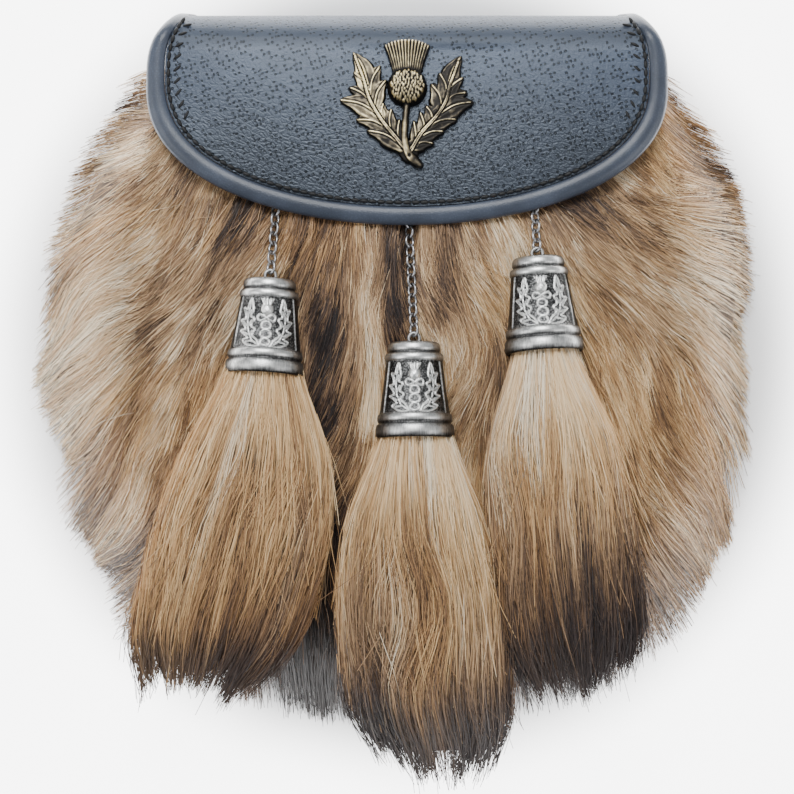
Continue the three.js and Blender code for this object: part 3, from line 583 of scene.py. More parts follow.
def flap_skin(station, inset, across, lift):
    """Points on the flap: stations -2 to -1 up its tail, -1 to 0 round the top, 0 to 1 down the front."""
    station, inset, across, lift = np.broadcast_arrays(
        *(np.asarray(v, dtype=float) for v in (station, inset, across, lift))
    )
    length = FLAP_LENGTH - inset
    half = FLAP_WIDTH / 2 - inset
    middle = (FLAP_TAIL_TOP + FLAP_UNDER) / 2
    half_depth = (FLAP_UNDER - FLAP_TAIL_TOP) / 2
    angle = np.pi * (np.clip(station, -1, 0) + 0.5)
    turning = (station >= -1) & (station < 0)
    reach = FLAP_TURN - FLAP_THICKNESS
    y = np.where(station < -1, -FLAP_TAIL + (FLAP_TAIL - FLAP_TURN) * (station + 2), 0.0)
    y = np.where(turning, -FLAP_TURN + reach * np.cos(angle), y)
    y = np.where(station >= 0, -FLAP_TURN + (FLAP_TURN - length) * station, y)
    z = np.where(station < -1, FLAP_TAIL_TOP, middle + half_depth * np.sin(angle))
    z = np.where(station >= 0, FLAP_UNDER + FLAP_RISE * (1 - (1 - station) ** 2), z)
    out_y = np.where(turning, np.cos(angle), 0)
    out_z = np.where(turning, np.sin(angle), np.where(station < -1, -1, 1))
    down = np.where(station > -0.5, np.clip(-y / length, 0, 1), 0)
    above = np.clip(FLAP_DEEPEST - down, 0, 1) / FLAP_DEEPEST
    below = np.clip(down - FLAP_DEEPEST, 0, 1) / (1 - FLAP_DEEPEST)
    upper = 1 - (1 - FLAP_HINGE / FLAP_WIDTH) * above ** FLAP_SHOULDER
    lower = np.sqrt(np.clip(1 - below ** FLAP_ROUNDNESS, 0, 1))
    share = np.where(down > FLAP_DEEPEST, lower, upper)
    x = half * share * across
    drop = FLAP_SIDE_DROP * (x / half) ** 2 * smooth_step(station + 0.5)
    return np.stack([x, y + out_y * lift, z + out_z * lift - drop], axis=-1)


LAST_STATION = 0.9985
front_stations = 1 - (1 - np.linspace(0, LAST_STATION, 78)) ** 1.6
stations = np.concatenate([np.linspace(-2, -1, 8)[:-1], np.linspace(-1, 0, 22)[:-1], front_stations])
columns = np.sin(np.linspace(-1, 1, 61) * np.pi / 2 * 0.92) / math.sin(np.pi / 2 * 0.92)


def make_flap():
    """The flap, with a map of its skin laid flat: across it, and down from its top edge, in millimetres."""
    outside = flap_skin(stations[:, None], BINDING_WIDTH, columns[None, :], FLAP_THICKNESS)
    inside = flap_skin(stations[:, None], BINDING_WIDTH, columns[None, ::-1], 0)
    waves = 0.35 * np.sin(outside[..., 0] / 19 + 1) * np.sin(outside[..., 1] / 15)
    outside[..., 2] += waves * (stations[:, None] > 0)
    rings = np.concatenate([outside, inside], axis=1)
    spine = outside[:, len(columns) // 2]
    walk = np.concatenate([[0], np.cumsum(np.linalg.norm(np.diff(spine, axis=0), axis=1))])
    down = walk - np.interp(0, stations, walk) + FLAP_TURN
    mesh = build_mesh("flap_leather", rings.reshape(-1, 3), loft_faces(len(stations), rings.shape[1]))
    face_outwards(mesh)
    corner = np.empty(len(mesh.loops), np.int32)
    mesh.loops.foreach_get("vertex_index", corner)
    skin = np.column_stack([rings[..., 0].ravel(), np.repeat(-down, rings.shape[1])])
    mesh.uv_layers.new(name="skin").data.foreach_set("uv", skin[corner].astype(np.float32).ravel())
    return mesh


# Pores lie in threes, one three to a slanted cell: the cell's size, each pore's place in it as a share of
# that size, and where a pore's wall starts and ends, in millimetres from its middle
PORE_CELL = (4.3, 3.0, 1)
PORES = ((-0.25, 0.13, 0), (0.03, -0.2, 0), (0.27, 0.1, 0))
PORE_EDGE = (0.26, 0.46)


def pigskin():
    """Pigskin-grained leather: pores in threes, with creases and pebbles that grow towards the lower edge. Its
    colour carries painted shade: darker towards the lower edge, in the creases and the pores, and on the rolled
    turn at the top.
    """
    finish = Finish("flap_pigskin")
    plane = {"noise_dimensions": "2D"}
    flat = finish.node("ShaderNodeUVMap", {"uv_map": "skin"}, {})["UV"]
    sway = finish.node("ShaderNodeTexNoise", plane, {"Vector": flat, "Scale": 0.05, "Detail": 0})["Color"]
    skin = finish.vector("ADD", flat, finish.vector("MULTIPLY", sway, (3.0, 3.0, 0.0)))

    def laid(degrees, size):
        sockets = {"Vector": skin, "Rotation": (0, 0, math.radians(degrees)), "Scale": size}
        return finish.node("ShaderNodeMapping", {"vector_type": "TEXTURE"}, sockets)["Vector"]

    rows = laid(-24, PORE_CELL)
    scatter = {"Vector": rows, "Scale": 1.0, "Randomness": 0.7}
    cell = finish.node("ShaderNodeTexVoronoi", {"voronoi_dimensions": "2D"}, scatter)["Position"]
    from_centre = finish.vector("SUBTRACT", rows, cell)
    gap = None
    for pore in PORES:
        in_mm = finish.vector("MULTIPLY", finish.vector("SUBTRACT", from_centre, pore), PORE_CELL)
        here = finish.node("ShaderNodeVectorMath", {"operation": "LENGTH"}, {0: in_mm})["Value"]
        gap = here if gap is None else gap.math("MINIMUM", here)
    pits = 1 - gap.between(*PORE_EDGE)
    down = finish.node("ShaderNodeSeparateXYZ", {}, {"Vector": flat})["Y"] * -1
    lower = down.between(12, 42)
    edges = {"voronoi_dimensions": "2D", "feature": "DISTANCE_TO_EDGE"}
    creases = {"Vector": laid(-30, (2.3, 1.25, 1)), "Scale": 1.0}
    crease = finish.node("ShaderNodeTexVoronoi", edges, creases)["Distance"]
    pebble = crease.between(0.0, 0.3)
    fine = finish.noise(finish.place(), 0.45, 3)
    clouds = finish.noise(finish.place(), 24, 3)
    height = pebble * (0.03 + lower * 0.09) + fine * 0.3 - pits * (1.8 + lower * 0.6)
    cloudy = finish.mix(clouds.between(0.3, 0.7), paint(46, 54, 70), paint(60, 70, 88))
    # Painted shade: the colour darkens towards the flap's lower edge, as if less light reached it there.
    base = finish.mix(down.between(10, 50) * 0.8, cloudy, paint(21, 22, 26))
    # Painted shade in the creases, stronger towards the lower edge.
    deep = finish.mix((1 - pebble) * (0.05 + lower * 0.2), base, paint(22, 24, 31))
    rolled = 1 - down.between(8, 14)
    # Painted shade on the rolled turn at the top, which is also made rougher.
    deep = finish.mix(rolled * 0.5, deep, paint(26, 30, 38))
    # Painted shade: the pores are painted near black.
    colour = finish.mix(pits * 0.95, deep, paint(5, 5, 8))
    return finish.finished({
        "Base Color": colour,
        "Roughness": 0.28 + fine * 0.14 + rolled * 0.25,
        "Specular IOR Level": 0.75,
        "Specular Tint": (0.76, 0.87, 1.0, 1.0),
        "Coat Weight": 0.1,
        "Coat Roughness": 0.25,
        "Normal": finish.bump(height, 0.4),
    })


flap = add_piece("flap_leather", make_flap(), pigskin())
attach(flap, "root")
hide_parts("flap")

# Section of the rolled edge: how far across it, and its height from the flap's inside
ROLL = [
    (0.0, 0.2), (0.0, 1.85), (0.06, 2.25), (0.18, 2.55), (0.32, 2.78), (0.48, 2.8), (0.64, 2.62),
    (0.8, 2.2), (0.92, 1.6), (1.0, 0.9), (0.98, 0.3), (0.88, -0.1), (0.6, -0.2), (0.3, -0.1),
]


def make_binding():
    across = np.array([a for a, _ in ROLL])
    lift = np.array([h for _, h in ROLL])
    rings = []
    for sign, order in ((1, stations), (-1, stations[::-1])):
        for station in order:
            inner = flap_skin(station, BINDING_WIDTH, sign, lift)
            outer = flap_skin(station, 0, sign, lift)
            width = np.linalg.norm(outer - inner, axis=1, keepdims=True)
            start = FIT * 0.5 / width
            rings.append(inner + (outer - inner) * (start + (1 - start) * across[:, None]))
    mesh = build_mesh("rolled_edge", np.vstack(rings), loft_faces(len(rings), len(ROLL)))
    face_outwards(mesh)
    return mesh


binding_leather = leather("rolled_leather", paint(56, 64, 78), paint(76, 85, 101), 0.4, 0.8, 0.05, 0.05)
binding = add_piece("rolled_edge", make_binding(), binding_leather)
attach(binding, "root")
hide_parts("flap_binding")

SEAM_INSET = 7.35
SEAM_STAND = 0.5
seam_stations = np.linspace(-0.25, LAST_STATION, 160)
right_seam = flap_skin(seam_stations, SEAM_INSET, 1, FLAP_THICKNESS + SEAM_STAND)
left_seam = flap_skin(seam_stations, SEAM_INSET, -1, FLAP_THICKNESS + SEAM_STAND)
whole_seam = np.vstack([right_seam, left_seam[::-1]])
sew("flap_seam", [whole_seam], 2.8, 2.9, 1.3)

# A row of slanted bars inside the seam at each side, which ends partway down, and the thin thread that
# runs back from each bar to the next
TICK_INSET = 10.2
TICK_STAND = 0.35
TICK_LAST = 0.47
TICK_PITCH = 3.9
TICK_SLANT = math.radians(52)
RETURN_SLANT = TICK_SLANT * 0.6
RETURN_DROP = 1.9
tick_stations = np.linspace(-0.2, TICK_LAST, 60)
for side, sign in (("left", -1), ("right", 1)):
    tick_row = flap_skin(tick_stations, TICK_INSET, sign, FLAP_THICKNESS + TICK_STAND)
    sew("bars_" + side, [tick_row], TICK_PITCH, 3.2, 1.0, sign * TICK_SLANT)
    return_row = tick_row + [0, -RETURN_DROP, 0]
    sew("returns_" + side, [return_row], TICK_PITCH, 2.9, 0.3, -sign * RETURN_SLANT)


# The thistle: a cast brass badge with a dark antique finish rubbed bright on its high places. A fluted
# crown stands on a scaly bulb, and two lobed leaves grow from the foot of its curved stem.
BADGE_DROP = 30.1
BADGE_PIXEL = (406.5, 103)
badge_station = (BADGE_DROP - FLAP_TURN) / (FLAP_LENGTH - BINDING_WIDTH - FLAP_TURN)
badge_seat = flap_skin(badge_station, BINDING_WIDTH, 0, FLAP_THICKNESS)
badge_above = flap_skin(badge_station - 0.1, BINDING_WIDTH, 0, FLAP_THICKNESS)
badge_tilt = math.atan2(badge_above[2] - badge_seat[2], badge_above[1] - badge_seat[1])
badge_turn = np.array(Matrix.Rotation(badge_tilt, 3, "X"))


def on_badge(points):
    """Row millimetres from the badge's own: flat back at z 0, top towards y."""
    return np.asarray(points) @ badge_turn.T + badge_seat + [0, 0, FIT]


def spline(points, steps):
    """A smooth curve through a few points."""
    points = np.asarray(points, dtype=float)
    padded = np.vstack([2 * points[0] - points[1], points, 2 * points[-1] - points[-2]])
    t = np.linspace(0, len(points) - 1, steps)
    i = np.minimum(t.astype(int), len(points) - 2)
    f = (t - i)[:, None]
    a, b, c, d = (padded[i + k] for k in range(4))
    return 0.5 * (2 * b + (c - a) * f + (2 * a - 5 * b + 4 * c - d) * f ** 2 + (3 * b - a - 3 * c + d) * f ** 3)


def along_line(line, grid_x, grid_y):
    """For each place of a grid, its distance from a line and the share of the line beside it."""
    best = np.full(grid_x.shape, 1e9)
    share = np.zeros(grid_x.shape)
    for i, ((ax, ay), (bx, by)) in enumerate(zip(line[:-1], line[1:])):
        dx, dy = bx - ax, by - ay
        t = np.clip(((grid_x - ax) * dx + (grid_y - ay) * dy) / (dx * dx + dy * dy + 1e-9), 0, 1)
        gap = np.hypot(grid_x - ax - t * dx, grid_y - ay - t * dy)
        nearer = gap < best
        best = np.where(nearer, gap, best)
        share = np.where(nearer, (i + t) / (len(line) - 1), share)
    return best, share


def badge_point(px, py):
    """Badge millimetres from a pixel of the picture."""
    return (px - BADGE_PIXEL[0]) * PIXEL, (BADGE_PIXEL[1] - py) * PIXEL


# Lobes, from the top of each leaf down: the root on the midrib and the tip, in pixels of the picture, then
# the width and the bow of the middle, in millimetres
LEFT_LOBES = [
    ((368, 86), (353, 54), 5.6, -0.9), ((369, 92), (353.5, 73.5), 4.6, -0.6),
    ((372, 106), (349, 88.5), 5.2, -0.9), ((378, 116), (340.5, 101.5), 6.4, -1.2),
    ((388, 130), (356, 121), 5.4, -1.0), ((400, 146), (367, 132), 6.0, -1.1),
    ((370, 96), (380, 67), 5.4, 1.0), ((374, 108), (386, 81), 4.8, 1.0),
    ((384, 122), (383, 104), 4.6, 0.7), ((390, 131), (391, 110), 4.0, 0.5),
    ((398, 144), (399, 120), 3.4, 0.4),
]
RIGHT_LOBES = [
    ((446, 92), (460, 57.5), 5.6, 0.9), ((445, 98), (462, 79), 5.2, 0.9),
    ((442, 106), (466, 94), 5.2, 1.2), ((438, 116), (472, 103.5), 6.6, 1.1),
    ((430, 126), (456, 121), 5.6, 0.8), ((420, 138), (443, 133), 5.0, 0.8),
    ((412, 147), (433, 145), 4.8, 0.8), ((446, 98), (438, 74), 5.4, -0.8),
    ((441, 110), (430, 85), 6.2, -1.0), ((432, 124), (425, 107), 4.8, -0.6),
    ((424, 133), (419, 113), 3.8, -0.4), ((415, 145), (413, 122), 3.2, -0.3),
]
LEFT_RIB = [(355, 58), (363, 79), (369, 100), (381, 121), (397, 141), (409, 156)]
RIGHT_RIB = [(457, 64), (449, 86), (445, 102), (436, 117), (421, 134), (410, 152)]
STEM_LINE = [(406, 106), (404.5, 125), (404, 142), (408.5, 156), (418.5, 166)]
STEM_PIN = (408.5, 157)
BULB_RADIUS = 6.4
BULB_HEIGHT = 5.2
BULB_RISE = 4.9
BULB_SCALES = 92
BULB_TURN = math.radians(137.5)
CROWN_FLUTES = 14
CROWN_FOOT = 4.7
CROWN_HALF = 8.3
CROWN_BASE = 9.4
CROWN_TOP = 20.4
CROWN_ARCH = 2.0
CROWN_LIP = 0.7
RELIEF_STEP = 0.25
SHADE_TO_RIGHT = 0.004
RELIEF_SOFTENING = 12


def badge_relief(grid_x, grid_y):
    """Height of the cast badge over its flat back, 0 where there is none."""
    height = np.zeros(grid_x.shape)
    for rib, lobes in ((LEFT_RIB, LEFT_LOBES), (RIGHT_RIB, RIGHT_LOBES)):
        rib_line = spline([badge_point(*p) for p in rib], 24)
        gap, share = along_line(rib_line, grid_x, grid_y)
        half = 0.7 + 2.0 * share ** 0.7
        bed = 1.15 * np.sqrt(np.clip(1 - (gap / half) ** 2, 0, 1)) + 0.4
        height = np.where(gap < half, np.maximum(height, bed), height)
        for order, (root, tip, wide, bow) in enumerate(lobes):
            root, tip = np.array(badge_point(*root)), np.array(badge_point(*tip))
            way = tip - root
            side = np.array([-way[1], way[0]]) / np.linalg.norm(way)
            line = spline([root, (root + tip) / 2 + side * bow, tip], 12)
            gap, share = along_line(line, grid_x, grid_y)
            half = 0.64 * wide * (0.72 + 0.28 * np.sin(np.pi * np.clip(share * 1.3, 0, 1)))
            half = half * (1 - share ** 3) ** 0.7 + 0.05
            across = gap / half
            pillow = 1.0 + 0.95 * np.clip(1 - across ** 2, 0, 1) ** 0.6 * (1 - 0.3 * share) + 0.12 * (order % 2)
            vein = np.exp(-(gap / 0.22) ** 2) * (share < 0.93) - 0.6 * np.exp(-((gap - 0.5) / 0.2) ** 2)
            rim = 0.25 * np.exp(-((across - 0.8) / 0.14) ** 2)
            lobe_height = pillow + 0.3 * vein + rim
            height = np.where(across < 1, np.maximum(height, lobe_height), height)
        gap, share = along_line(rib_line, grid_x, grid_y)
        half = 0.36 + 0.34 * share
        ridge = 2.35 - 0.5 * (gap / half) ** 2 - 0.45 * np.exp(-(gap / 0.16) ** 2)
        moat = (gap > half) & (gap < half + 0.3) & (height > 0.6)
        height = np.where(moat, height - 0.45, height)
        height = np.where(gap < half, np.maximum(ridge, height * 0.4), height)
    gap, share = along_line(spline([badge_point(*p) for p in STEM_LINE], 24), grid_x, grid_y)
    half = 1.05 + 0.75 * share ** 3 - 0.9 * np.clip(share - 0.9, 0, 1) * 6
    stem = 1.7 + 1.1 * np.sqrt(np.clip(1 - (gap / half) ** 2, 0, 1)) - 0.6 * share ** 2
    pin_x, pin_y = badge_point(*STEM_PIN)
    pin = np.hypot(grid_x - pin_x, grid_y - pin_y)
    stem = stem - 0.8 * np.exp(-(pin / 0.4) ** 2)
    height = np.where(gap < half, np.maximum(height, stem), height)
    rise = np.clip((grid_y - CROWN_BASE) / (CROWN_TOP - CROWN_BASE), 0, 1)
    across = grid_x / (CROWN_FOOT + (CROWN_HALF - CROWN_FOOT) * rise ** 1.25)
    top = CROWN_TOP - CROWN_ARCH * across ** 2
    flute = np.abs(np.sin(np.pi * CROWN_FLUTES * (across + 1) / 2)) ** 0.8
    fan = 2.6 - 1.0 * across ** 2 + 1.1 * flute * (0.25 + 0.75 * rise)
    fan = fan - 0.5 * np.clip((grid_y - top + CROWN_LIP) / CROWN_LIP, 0, 1)
    in_fan = (np.abs(across) < 1) & (grid_y > CROWN_BASE - 1.5) & (grid_y < top)
    height = np.where(in_fan, np.maximum(height, fan), height)
    from_x, from_y = grid_x, grid_y - BULB_RISE
    reach = np.hypot(from_x, from_y) / BULB_RADIUS
    rng = np.random.default_rng(5)
    cover = np.zeros(grid_x.shape)
    for order in range(BULB_SCALES):
        far = BULB_RADIUS * 0.86 * math.sqrt((order + 0.5) / BULB_SCALES)
        turn = order * BULB_TURN + rng.uniform(-0.12, 0.12)
        dx, dy = from_x - far * math.cos(turn), from_y - far * math.sin(turn)
        scale = 1 - (dx / rng.uniform(0.4, 0.55)) ** 2 - (dy / rng.uniform(0.75, 1.15)) ** 2
        cover = np.maximum(cover, scale)
    bulb = BULB_HEIGHT * np.sqrt(np.clip(1 - reach ** 2, 0, 1)) + 0.6 * np.clip(cover, 0, 1) ** 0.7
    return np.where(reach < 1, np.maximum(height, bulb + 0.4), height)


def relief_mesh(name, xs, ys, height, put):
    """A closed cast form from heights over a flat back, with an attribute for how proud each place stands, lowered
    towards the right as painted shade.
    """
    soft = np.stack([height, height > 0]).astype(float)
    for _ in range(RELIEF_SOFTENING):
        around = np.pad(soft, ((0, 0), (1, 1), (1, 1)), mode="edge")
        sides = around[:, :-2, 1:-1] + around[:, 2:, 1:-1] + around[:, 1:-1, :-2] + around[:, 1:-1, 2:]
        soft = (sides + soft) / 5
    proud = height - soft[0] / np.maximum(soft[1], 0.05)
    solid = height > 0
    cells = solid[:-1, :-1] | solid[1:, :-1] | solid[:-1, 1:] | solid[1:, 1:]
    needed = np.zeros(height.shape, bool)
    for down, right in ((0, 0), (0, 1), (1, 0), (1, 1)):
        needed[down:down + cells.shape[0], right:right + cells.shape[1]] |= cells
    grid_x, grid_y = np.meshgrid(xs, ys)
    top_index = np.where(needed, np.cumsum(needed).reshape(needed.shape) - 1, -1)
    count = int(needed.sum())
    low_index = np.where(solid, count + np.cumsum(solid).reshape(solid.shape) - 1, top_index)
    top = np.column_stack([grid_x[needed], grid_y[needed], height[needed]])
    low = np.column_stack([grid_x[solid], grid_y[solid], np.zeros(int(solid.sum()))])
    row, column = np.where(cells)
    ring = [(0, 0), (0, 1), (1, 1), (1, 0)]
    top_faces = np.column_stack([top_index[row + r, column + c] for r, c in ring])
    low_faces = np.column_stack([low_index[row + r, column + c] for r, c in ring[::-1]])
    points = put(np.vstack([top, low]))
    mesh = bpy.data.meshes.new(name)
    mesh.from_pydata(place(points).tolist(), [], np.vstack([top_faces, low_faces]).tolist())
    mesh.validate()
    # Painted shade: the proud attribute falls off towards the badge's right side, which darkens it there.
    worn = proud - SHADE_TO_RIGHT * grid_x
    values = np.concatenate([worn[needed], np.zeros(len(low))])
    mesh.attributes.new("proud", "FLOAT", "POINT").data.foreach_set("value", values.astype(np.float32))
    return mesh


def antique(name, dark, middle, bright, roughness, lump=1.6, relief=0.05, spread=2.2, level_at=0.5):
    """Cast metal darkened in its hollows and rubbed bright on what stands proud."""
    finish = Finish(name)
    at = finish.place()
    proud = finish.node("ShaderNodeAttribute", {"attribute_name": "proud"}, {})["Fac"]
    stain = finish.noise(at, lump, 4, 0.6)
    fine = finish.noise(at, 0.25, 2)
    worn = finish.noise(at, lump * 4, 2)
    level = proud * spread + level_at + (stain - 0.5) * 0.5 + (worn - 0.5) * 0.9
    colour = finish.ramp(level, [(0.0, dark), (0.3, dark), (0.55, middle), (0.85, bright), (1.0, bright)])
    return finish.finished({
        "Base Color": colour,
        "Metallic": 1.0,
        "Roughness": roughness + (1 - level.clamp()) * 0.25 + (fine - 0.5) * 0.12,
        "Normal": finish.bump(fine * 0.5 + stain * 0.5, relief),
    })


brass_tones = paint(44, 42, 40), paint(112, 103, 86), paint(234, 216, 168)
antique_brass = antique("antique_brass", *brass_tones, roughness=0.3, level_at=0.38, spread=2.1)
badge_x = np.arange(-22.4, 22.4, RELIEF_STEP)
badge_y = np.arange(-21.6, 21.2, RELIEF_STEP)
badge_height = badge_relief(*np.meshgrid(badge_x, badge_y))
badge = add_piece("thistle", relief_mesh("thistle", badge_x, badge_y, badge_height, on_badge), antique_brass)
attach(badge, "root")
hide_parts("thistle_badge")

lay_on("closing_stud", antique_brass)


# The tassel caps: cast bell-shaped caps in antique pewter. Two polished rings close each end, and the wall
# between them carries a raised thistle, knotwork and toothed leaves on a dark pebbled ground. Their brightness
# is partly painted: highlights along the rings and on the front, shade towards the sides and inside the mouth.
FUR_DEPTH = 6.5
FUR_PRESSED = 2.4
PRESSED_REACH = 52
FULL_REACH = 82
CAP_HEIGHT = 31.4
CAP_RADIUS = 13.1
CAP_SINK = 6.5
CAP_TOP_SHARE = 0.7655
TASSELS = {
    "left": dict(
        x=-44.7, drop=88.1, lean=-3.6, links=8, chain_lean=4.3,
        length=106, wide=61, thick=23, drift=-17, fall=22,
    ),
    "middle": dict(
        x=2.3, drop=108.6, lean=0.4, links=12, chain_lean=-2.7,
        length=113, wide=59, thick=23, drift=7, fall=40,
    ),
    "right": dict(
        x=42.6, drop=80.9, lean=3.9, links=6, chain_lean=-2.6,
        length=112, wide=51, thick=22, drift=5, fall=22,
    ),
}


def fur_top(x, y):
    free = smooth_step((-y - PRESSED_REACH) / (FULL_REACH - PRESSED_REACH))
    return front_height(x, y) + FIT + FUR_PRESSED + (FUR_DEPTH - FUR_PRESSED) * free


def cap_matrix(tassel):
    """The cap's own frame: its top at the origin, its mouth down -y, its front up z."""
    lean = math.radians(tassel["lean"])
    top_x, top_y = tassel["x"], -tassel["drop"]
    foot_x, foot_y = top_x + CAP_HEIGHT * math.sin(lean), top_y - CAP_HEIGHT * math.cos(lean)
    top_z = float(fur_top(top_x, top_y)) + CAP_TOP_SHARE * CAP_RADIUS - CAP_SINK
    foot_z = float(fur_top(foot_x, foot_y)) + CAP_RADIUS - CAP_SINK
    dip = math.asin((foot_z - top_z) / CAP_HEIGHT)
    turn = Matrix.Rotation(lean, 4, "Z") @ Matrix.Rotation(-dip, 4, "X")
    return Matrix.Translation((top_x, top_y, top_z)) @ turn


def moved(matrix, points):
    turn = np.array(matrix.to_3x3())
    return np.asarray(points) @ turn.T + np.array(matrix.translation)


# Outside of a cap: how far down it and how wide, as shares of its height and its mouth's radius
CAP_OUTSIDE = [
    (0.0, 0.02), (0.0, 0.3), (0.002, 0.56), (0.012, 0.61), (0.035, 0.645), (0.07, 0.66), (0.09, 0.655),
    (0.1, 0.635), (0.11, 0.635), (0.12, 0.665), (0.128, 0.705), (0.14, 0.725), (0.16, 0.735), (0.18, 0.733),
    (0.193, 0.725), (0.2, 0.708), (0.21, 0.705), (0.3, 0.73), (0.4, 0.758), (0.5, 0.79), (0.6, 0.825),
    (0.7, 0.862), (0.745, 0.88), (0.752, 0.905), (0.765, 0.925), (0.79, 0.938), (0.815, 0.936), (0.83, 0.92),
    (0.838, 0.905), (0.85, 0.905), (0.858, 0.935), (0.87, 0.96), (0.9, 0.978), (0.94, 0.985), (0.975, 0.98),
    (0.992, 0.965), (1.0, 0.94), (1.0, 0.91), (0.985, 0.89), (0.6, 0.74), (0.25, 0.63), (0.2, 0.4), (0.2, 0.02),
]
CAP_OUTER_RINGS = 36
CAP_AROUND = 96
# How bright the outside is, by the share down it: rubbed on the crests of the rings with a painted highlight
# along them, darker in the grooves, and the inside of the mouth painted dark as shade
CAP_RUB_AND_HIGHLIGHT = [
    (0, 0.5), (0.03, 0.78), (0.085, 0.66), (0.1, 0.25), (0.11, 0.25), (0.13, 0.58), (0.16, 0.85), (0.19, 0.65),
    (0.21, 0.25), (0.74, 0.3), (0.755, 0.5), (0.78, 0.76), (0.815, 0.6), (0.835, 0.25), (0.85, 0.25),
    (0.88, 0.58), (0.93, 0.72), (0.97, 0.4), (1, 0.1),
]
CAP_INSIDE_SHADE = 0.05


def cap_shell():
    angle = np.linspace(0, 2 * np.pi, CAP_AROUND, endpoint=False)
    rings = [
        np.column_stack([
            np.sin(angle) * wide * CAP_RADIUS,
            np.full(CAP_AROUND, -down * CAP_HEIGHT),
            np.cos(angle) * wide * CAP_RADIUS,
        ])
        for down, wide in CAP_OUTSIDE
    ]
    # Painted highlight and shade: the cap is brighter where its wall faces up and darker where it turns to the
    # sides.
    facing = smooth_step((np.cos(angle) - 0.15) / 0.75)
    rub_and_highlight = np.interp([down for down, _ in CAP_OUTSIDE], *np.transpose(CAP_RUB_AND_HIGHLIGHT))
    rub_and_highlight[CAP_OUTER_RINGS:] = CAP_INSIDE_SHADE
    shade = rub_and_highlight[:, None] * (0.5 + 0.5 * facing[None, :])
    return np.vstack(rings), loft_faces(len(rings), CAP_AROUND), shade.ravel()


def wall_radius(down):
    return np.interp(down, *np.transpose(CAP_OUTSIDE[:CAP_OUTER_RINGS])) * CAP_RADIUS


# Raised lines of the ornament: degrees round from the front, and the share down. The leaf and its veins are
# the right one of a pair.
LEAF_OUTLINE = [
    (9, 0.735), (20, 0.74), (33, 0.715), (41, 0.675), (32, 0.652), (40, 0.61), (49, 0.575), (39, 0.556), (44, 0.51),
    (52, 0.462), (42, 0.452), (43, 0.4), (49, 0.335), (40, 0.345), (38, 0.29), (33, 0.235), (29, 0.3), (27, 0.36),
    (31, 0.42), (23, 0.45), (28, 0.52), (20, 0.56), (24, 0.62), (15, 0.67), (9, 0.735),
]
LEAF_VEINS = [
    [(10, 0.73), (24, 0.67), (33, 0.57), (37, 0.46), (36, 0.36), (34, 0.27)], [(22, 0.68), (34, 0.69)],
    [(29, 0.62), (43, 0.59)], [(34, 0.53), (47, 0.475)], [(36.5, 0.42), (45, 0.36)], [(29, 0.62), (24, 0.58)],
    [(34, 0.53), (28, 0.47)], [(36.5, 0.42), (31, 0.36)],
]
EDGE_LINE = [(60, 0.21), (60, 0.745)]
# Closed loops down the middle: the share down, half width and half height in millimetres, and whether it
# crosses itself
KNOTS = [(0.435, 2.9, 1.0, True), (0.515, 1.5, 1.25, False), (0.605, 1.7, 1.3, False), (0.69, 1.5, 1.15, False)]
ORNAMENT_WIDE = 66
WALL_TOP = 0.205
WALL_FOOT = 0.748
ORNAMENT_ROWS = 73
ORNAMENT_COLUMNS = 105
ORNAMENT_ROOT = 0.5
BULB_DOWN = 0.345
BULB_HALF = 1.9
PETAL_PITCH = 2.9


